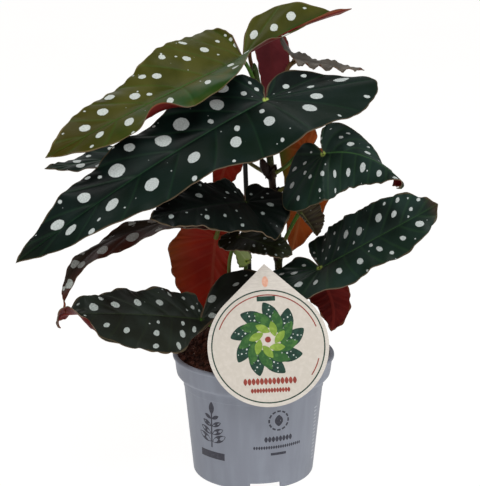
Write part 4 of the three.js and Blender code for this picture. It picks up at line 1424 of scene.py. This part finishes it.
crumbs = [scatter(lump(seed), CRUMBS_EACH, 0.5, 2.4, (1, 1, 0.8), 0.15) for seed in CRUMB_SEEDS]
grit = scatter(lump(4), GRIT, 0.3, 0.8, (1, 1, 1), 0.6)
fibres = scatter(lump(5), FIBRES, 0.25, 0.4, (9, 1, 1), 1.4)
print("crumbs:", len(CRUMB_SEEDS) * CRUMBS_EACH, "grit:", GRIT, "fibres:", FIBRES)

# %% [markdown]
# Moist peat is nearly black with a red-brown cast, fully matt, and rough at every scale. The fine
# noise is far finer than a crumb, so the lumps don't read as pebbles.

# %% Peat and grit


def earth(name, deep, light, fleck, rough):
    material, tree, shader = finish(name, roughness=rough, specular_ior_level=0.2)
    place = add(tree, "ShaderNodeTexCoord", {}, out="Object")
    coarse = add(tree, "ShaderNodeTexNoise", {"Vector": place, "Scale": 260.0, "Detail": 5.0})
    fine = add(tree, "ShaderNodeTexNoise", {"Vector": place, "Scale": 1500.0, "Detail": 3.0})
    body = paint(tree, deep, light, coarse, 0.38, 0.66)
    body = paint(tree, body, fleck, fine, 0.62, 0.74, 0.7)
    cover(tree, shader, body, fine, 0.8, 0.4)
    return material


peat = earth("peat_crumbled_moist", "341f18", "603a2d", "90604f", 0.95)
stone = earth("pumice_grit_crushed", "8a7468", "b39c8e", "d2c0b4", 0.9)
straw = earth("coir_fibre_dried", "5c4030", "8a6650", "a88468", 0.85)
for pieces, material in (((soil, *crumbs), peat), ((grit,), stone), ((fibres,), straw)):
    for piece in pieces:
        piece.data.materials.append(material)
pick(soil)
bpy.ops.object.shade_smooth()
soil = join([soil, *crumbs, grit, fibres])
settle(soil, "crumbled_soil", ["soil"])

# %% [markdown]
# ## Plant label
# The label is stiff printed card: a disc drawn up into a point, hung in front of the rim by a tongue
# that bends over the rim and down into the soil. A circle becomes the teardrop by one rule: where
# the two tangents from the point run outside its edge, the edge is pushed out to them. The card
# leans back a little and is turned a few degrees, as on the real pot.

# %% Card and tongue
CARD_RADIUS = 43
CARD_APEX = 58.5
CARD_THICKNESS = 0.7
CARD_LEAN = math.radians(12)
CARD_TURN = math.radians(3)
CARD_CENTRE = (10, 114)
# the card hangs clear of the rim by the seat, and its middle plane lies a little further out
SEAT = 0.3
CARD_MIDDLE = 0.4
TONGUE_WIDTH = 7
TONGUE_BACK = -52.6
TONGUE_BEND = 1.2
TONGUE_TIP = (-44, 64)


def card_depth(height):
    """Depth of the leaning card's middle plane at a height."""
    rest = -(RIM_RADIUS + SEAT + CARD_MIDDLE / math.cos(CARD_LEAN))
    return rest + (height - POT_HEIGHT) * math.tan(CARD_LEAN)


CARD_PLACE = (
    Matrix.Translation((CARD_CENTRE[0], card_depth(CARD_CENTRE[1]), CARD_CENTRE[1]))
    @ Matrix.Rotation(math.pi / 2 - CARD_LEAN, 4, "X") @ Matrix.Rotation(CARD_TURN, 4, "Z")
)


def teardrop(radius, apex):
    """A filled teardrop in the plane of x and y, its point towards y."""
    card = primitive("circle", vertices=240, radius=radius, fill_type="NGON")
    spread = math.acos(radius / apex)
    for vertex in card.data.vertices:
        angle = math.atan2(vertex.co.x, vertex.co.y)
        vertex.co *= 1 / math.cos(max(0, spread - abs(angle)))
    return card


card = teardrop(CARD_RADIUS, CARD_APEX)
apply_modifier(card, "SOLIDIFY", thickness=CARD_THICKNESS, offset=0)
apply_modifier(card, "BEVEL", width=0.12, segments=2, limit_method="ANGLE", angle_limit=math.radians(60))
card.data.transform(CARD_PLACE)

top = POT_HEIGHT + SEAT + CARD_MIDDLE
tongue = draw_section([(card_depth(top), top), (TONGUE_BACK, top),
                       (TONGUE_BACK + TONGUE_BEND, top - TONGUE_BEND), TONGUE_TIP])
with editing():
    bpy.ops.mesh.extrude_region_move(TRANSFORM_OT_translate={"value": (0, TONGUE_WIDTH * MM, 0)})
# the section was drawn along x: turn it so that it runs along the depth
tongue.data.transform(Matrix.Rotation(math.pi / 2, 4, "Z"))
tongue.data.transform(Matrix.Translation(((CARD_CENTRE[0] + TONGUE_WIDTH / 2) * MM, 0, 0)))
apply_modifier(tongue, "SOLIDIFY", thickness=CARD_THICKNESS * MM, offset=0)
card.data.transform(MM_SCALE)
print("card leans back", round(math.degrees(CARD_LEAN)), "degrees")

# %% [markdown]
# The card is uncoated cream board, its fibres running across it. Its plain design is printed in
# flat inks, with a faint dot pattern that keeps a large field of one colour from looking painted.

# %% Board and inks
board, tree, shader = finish("cardboard_uncoated_cream", roughness=0.7, specular_ior_level=0.3)
place = add(tree, "ShaderNodeTexCoord", {}, out="Object")
across = add(tree, "ShaderNodeMapping", {"Vector": place, "Scale": (0.25, 1, 1)})
weave = add(tree, "ShaderNodeTexNoise", {"Vector": across, "Scale": 900.0, "Detail": 3.0})
cloudy = add(tree, "ShaderNodeTexNoise", {"Vector": place, "Scale": 60.0, "Detail": 2.0})
skin = paint(tree, "d4cdc3", "ded7cd", weave, 0.35, 0.65)
skin = paint(tree, skin, "cec6ba", cloudy, 0.5, 0.8, 0.5)
cover(tree, shader, skin, weave, 0.3, 0.05)


def flat_ink(name, code, other):
    material, tree, shader = finish(name, roughness=0.55, specular_ior_level=0.35)
    place = add(tree, "ShaderNodeTexCoord", {}, out="Object")
    dots = add(tree, "ShaderNodeTexNoise", {"Vector": place, "Scale": 350.0, "Detail": 4.0})
    tree.links.new(paint(tree, code, other, dots, 0.4, 0.7), shader.inputs["Base Color"])
    return material


INKS = {
    "cream": flat_ink("offset_ink_cream", "d2cabe", "d9d1c6"),
    "white": flat_ink("offset_ink_white", "c6cfc8", "d6dcd4"),
    "forest": flat_ink("offset_ink_forest", "16352a", "24483a"),
    "leaf": flat_ink("offset_ink_leaf", "2c5a2a", "467236"),
    "lime": flat_ink("offset_ink_lime", "7c9a38", "94b04c"),
    "brick": flat_ink("offset_ink_brick", "8e3a30", "a24a3c"),
    "peach": flat_ink("offset_ink_peach", "e3a68c", "ecbda6"),
}
for piece in (card, tongue):
    piece.data.materials.append(board)
print("inks:", ", ".join(INKS))

# %% [markdown]
# The inks are thin inlays made with the same marks as the pot's print: a cream ground, a green ring,
# two red arcs, a wreath of spotted leaves in three greens, two rows of small leaves, a bar and a
# drop. A border of bare board is left round the ring. Each layer stands a trace higher than the one
# under it, so that no two lie in the same plane.

# %% Printed marks of the card
INLAY = 0.06
INLAY_STEP = 0.03
WREATH_RISE = 5


def flat_ring(radius, width, first=0.0, last=360.0):
    """A ring or arc in the plane of x and y, between two angles in degrees."""
    inner = radius - width / 2
    grow = (radius + width / 2) / inner
    ring = primitive("circle", vertices=180, radius=inner, fill_type="NOTHING")
    with editing():
        bpy.ops.mesh.extrude_region_move(TRANSFORM_OT_translate={"value": (0, 0, 0)})
        bpy.ops.transform.resize(value=(grow, grow, 1))
        bpy.ops.mesh.select_all(action="DESELECT")
    for vertex in ring.data.vertices:
        angle = math.degrees(math.atan2(vertex.co.y, vertex.co.x)) % 360
        vertex.select = not first <= angle <= last
    with editing(whole=False):
        bpy.ops.mesh.delete(type="VERT")
    return ring


def ink_layer(marks, ink_name, level):
    """Marks laid on the card's front as one inlay, a little higher for each level."""
    layer = join(marks)
    with editing():
        bpy.ops.mesh.normals_make_consistent(inside=False)
    layer.data.materials.append(INKS[ink_name])
    layer.data.transform(Matrix.Translation((0, 0, CARD_THICKNESS / 2 + INLAY_STEP * level)))
    # the ink grows down towards the card, whichever way its faces look
    down = -1 if layer.data.polygons[0].normal.z > 0 else 1
    apply_modifier(layer, "SOLIDIFY", thickness=INLAY, offset=down)
    layer.data.transform(MM_SCALE @ CARD_PLACE)
    return layer


def wreath(radius, count, length, width, lean, shift):
    marks = []
    for angle in angles_round(count, shift):
        centre = (radius * math.cos(angle), radius * math.sin(angle) + WREATH_RISE)
        marks.append(flat_leaf(centre, length, width, angle + lean))
    return marks


def dots_on(radius, count, shift, offsets):
    """Small dots at the same places on each leaf of a wreath."""
    dots = []
    for angle in angles_round(count, shift):
        for out, aside, size in offsets:
            x = (radius + out) * math.cos(angle) - aside * math.sin(angle)
            y = (radius + out) * math.sin(angle) + aside * math.cos(angle)
            dots.append(flat_oval((x, y + WREATH_RISE), size, size, sides=8))
    return dots


DOTS = ((-4, -1.5, 1.0), (-1, 0.6, 1.3), (1.5, -1.2, 0.9), (3.5, 2.2, 1.2), (6, 2.0, 0.8), (0.5, 3.0, 0.8))
layers = [
    ink_layer([flat_oval((0, 0), 79, 79, sides=120)], "cream", 1),
    ink_layer([flat_ring(39.9, 0.9)], "forest", 2),
    ink_layer([flat_ring(36.6, 0.8, 20, 158), flat_ring(36.6, 0.8, 322, 345)]
              + leaf_row((0, -24.5), 38, 5, 13) + leaf_row((0, -31), 28, 3.6, 14), "brick", 2),
    ink_layer(wreath(17.5, 9, 21, 10.5, 0.7, 0.0), "forest", 2),
    ink_layer(wreath(14, 9, 17, 7.6, 0.7, 0.5), "leaf", 3),
    ink_layer(wreath(8.5, 7, 11, 5.4, 0.7, 0.2), "lime", 4),
    ink_layer(dots_on(17.5, 9, 0.0, DOTS), "white", 3),
    ink_layer([flat_oval((0, WREATH_RISE), 4.2, 4.2)], "brick", 5),
    ink_layer([flat_oval((0, 46), 4.4, 7.6)], "peach", 2),
    ink_layer([flat_bar((0, 34), 13, 3.4)], "forest", 2),
]
settle(join([card, tongue, *layers]), "printed_plant_label", ["plant_label"])
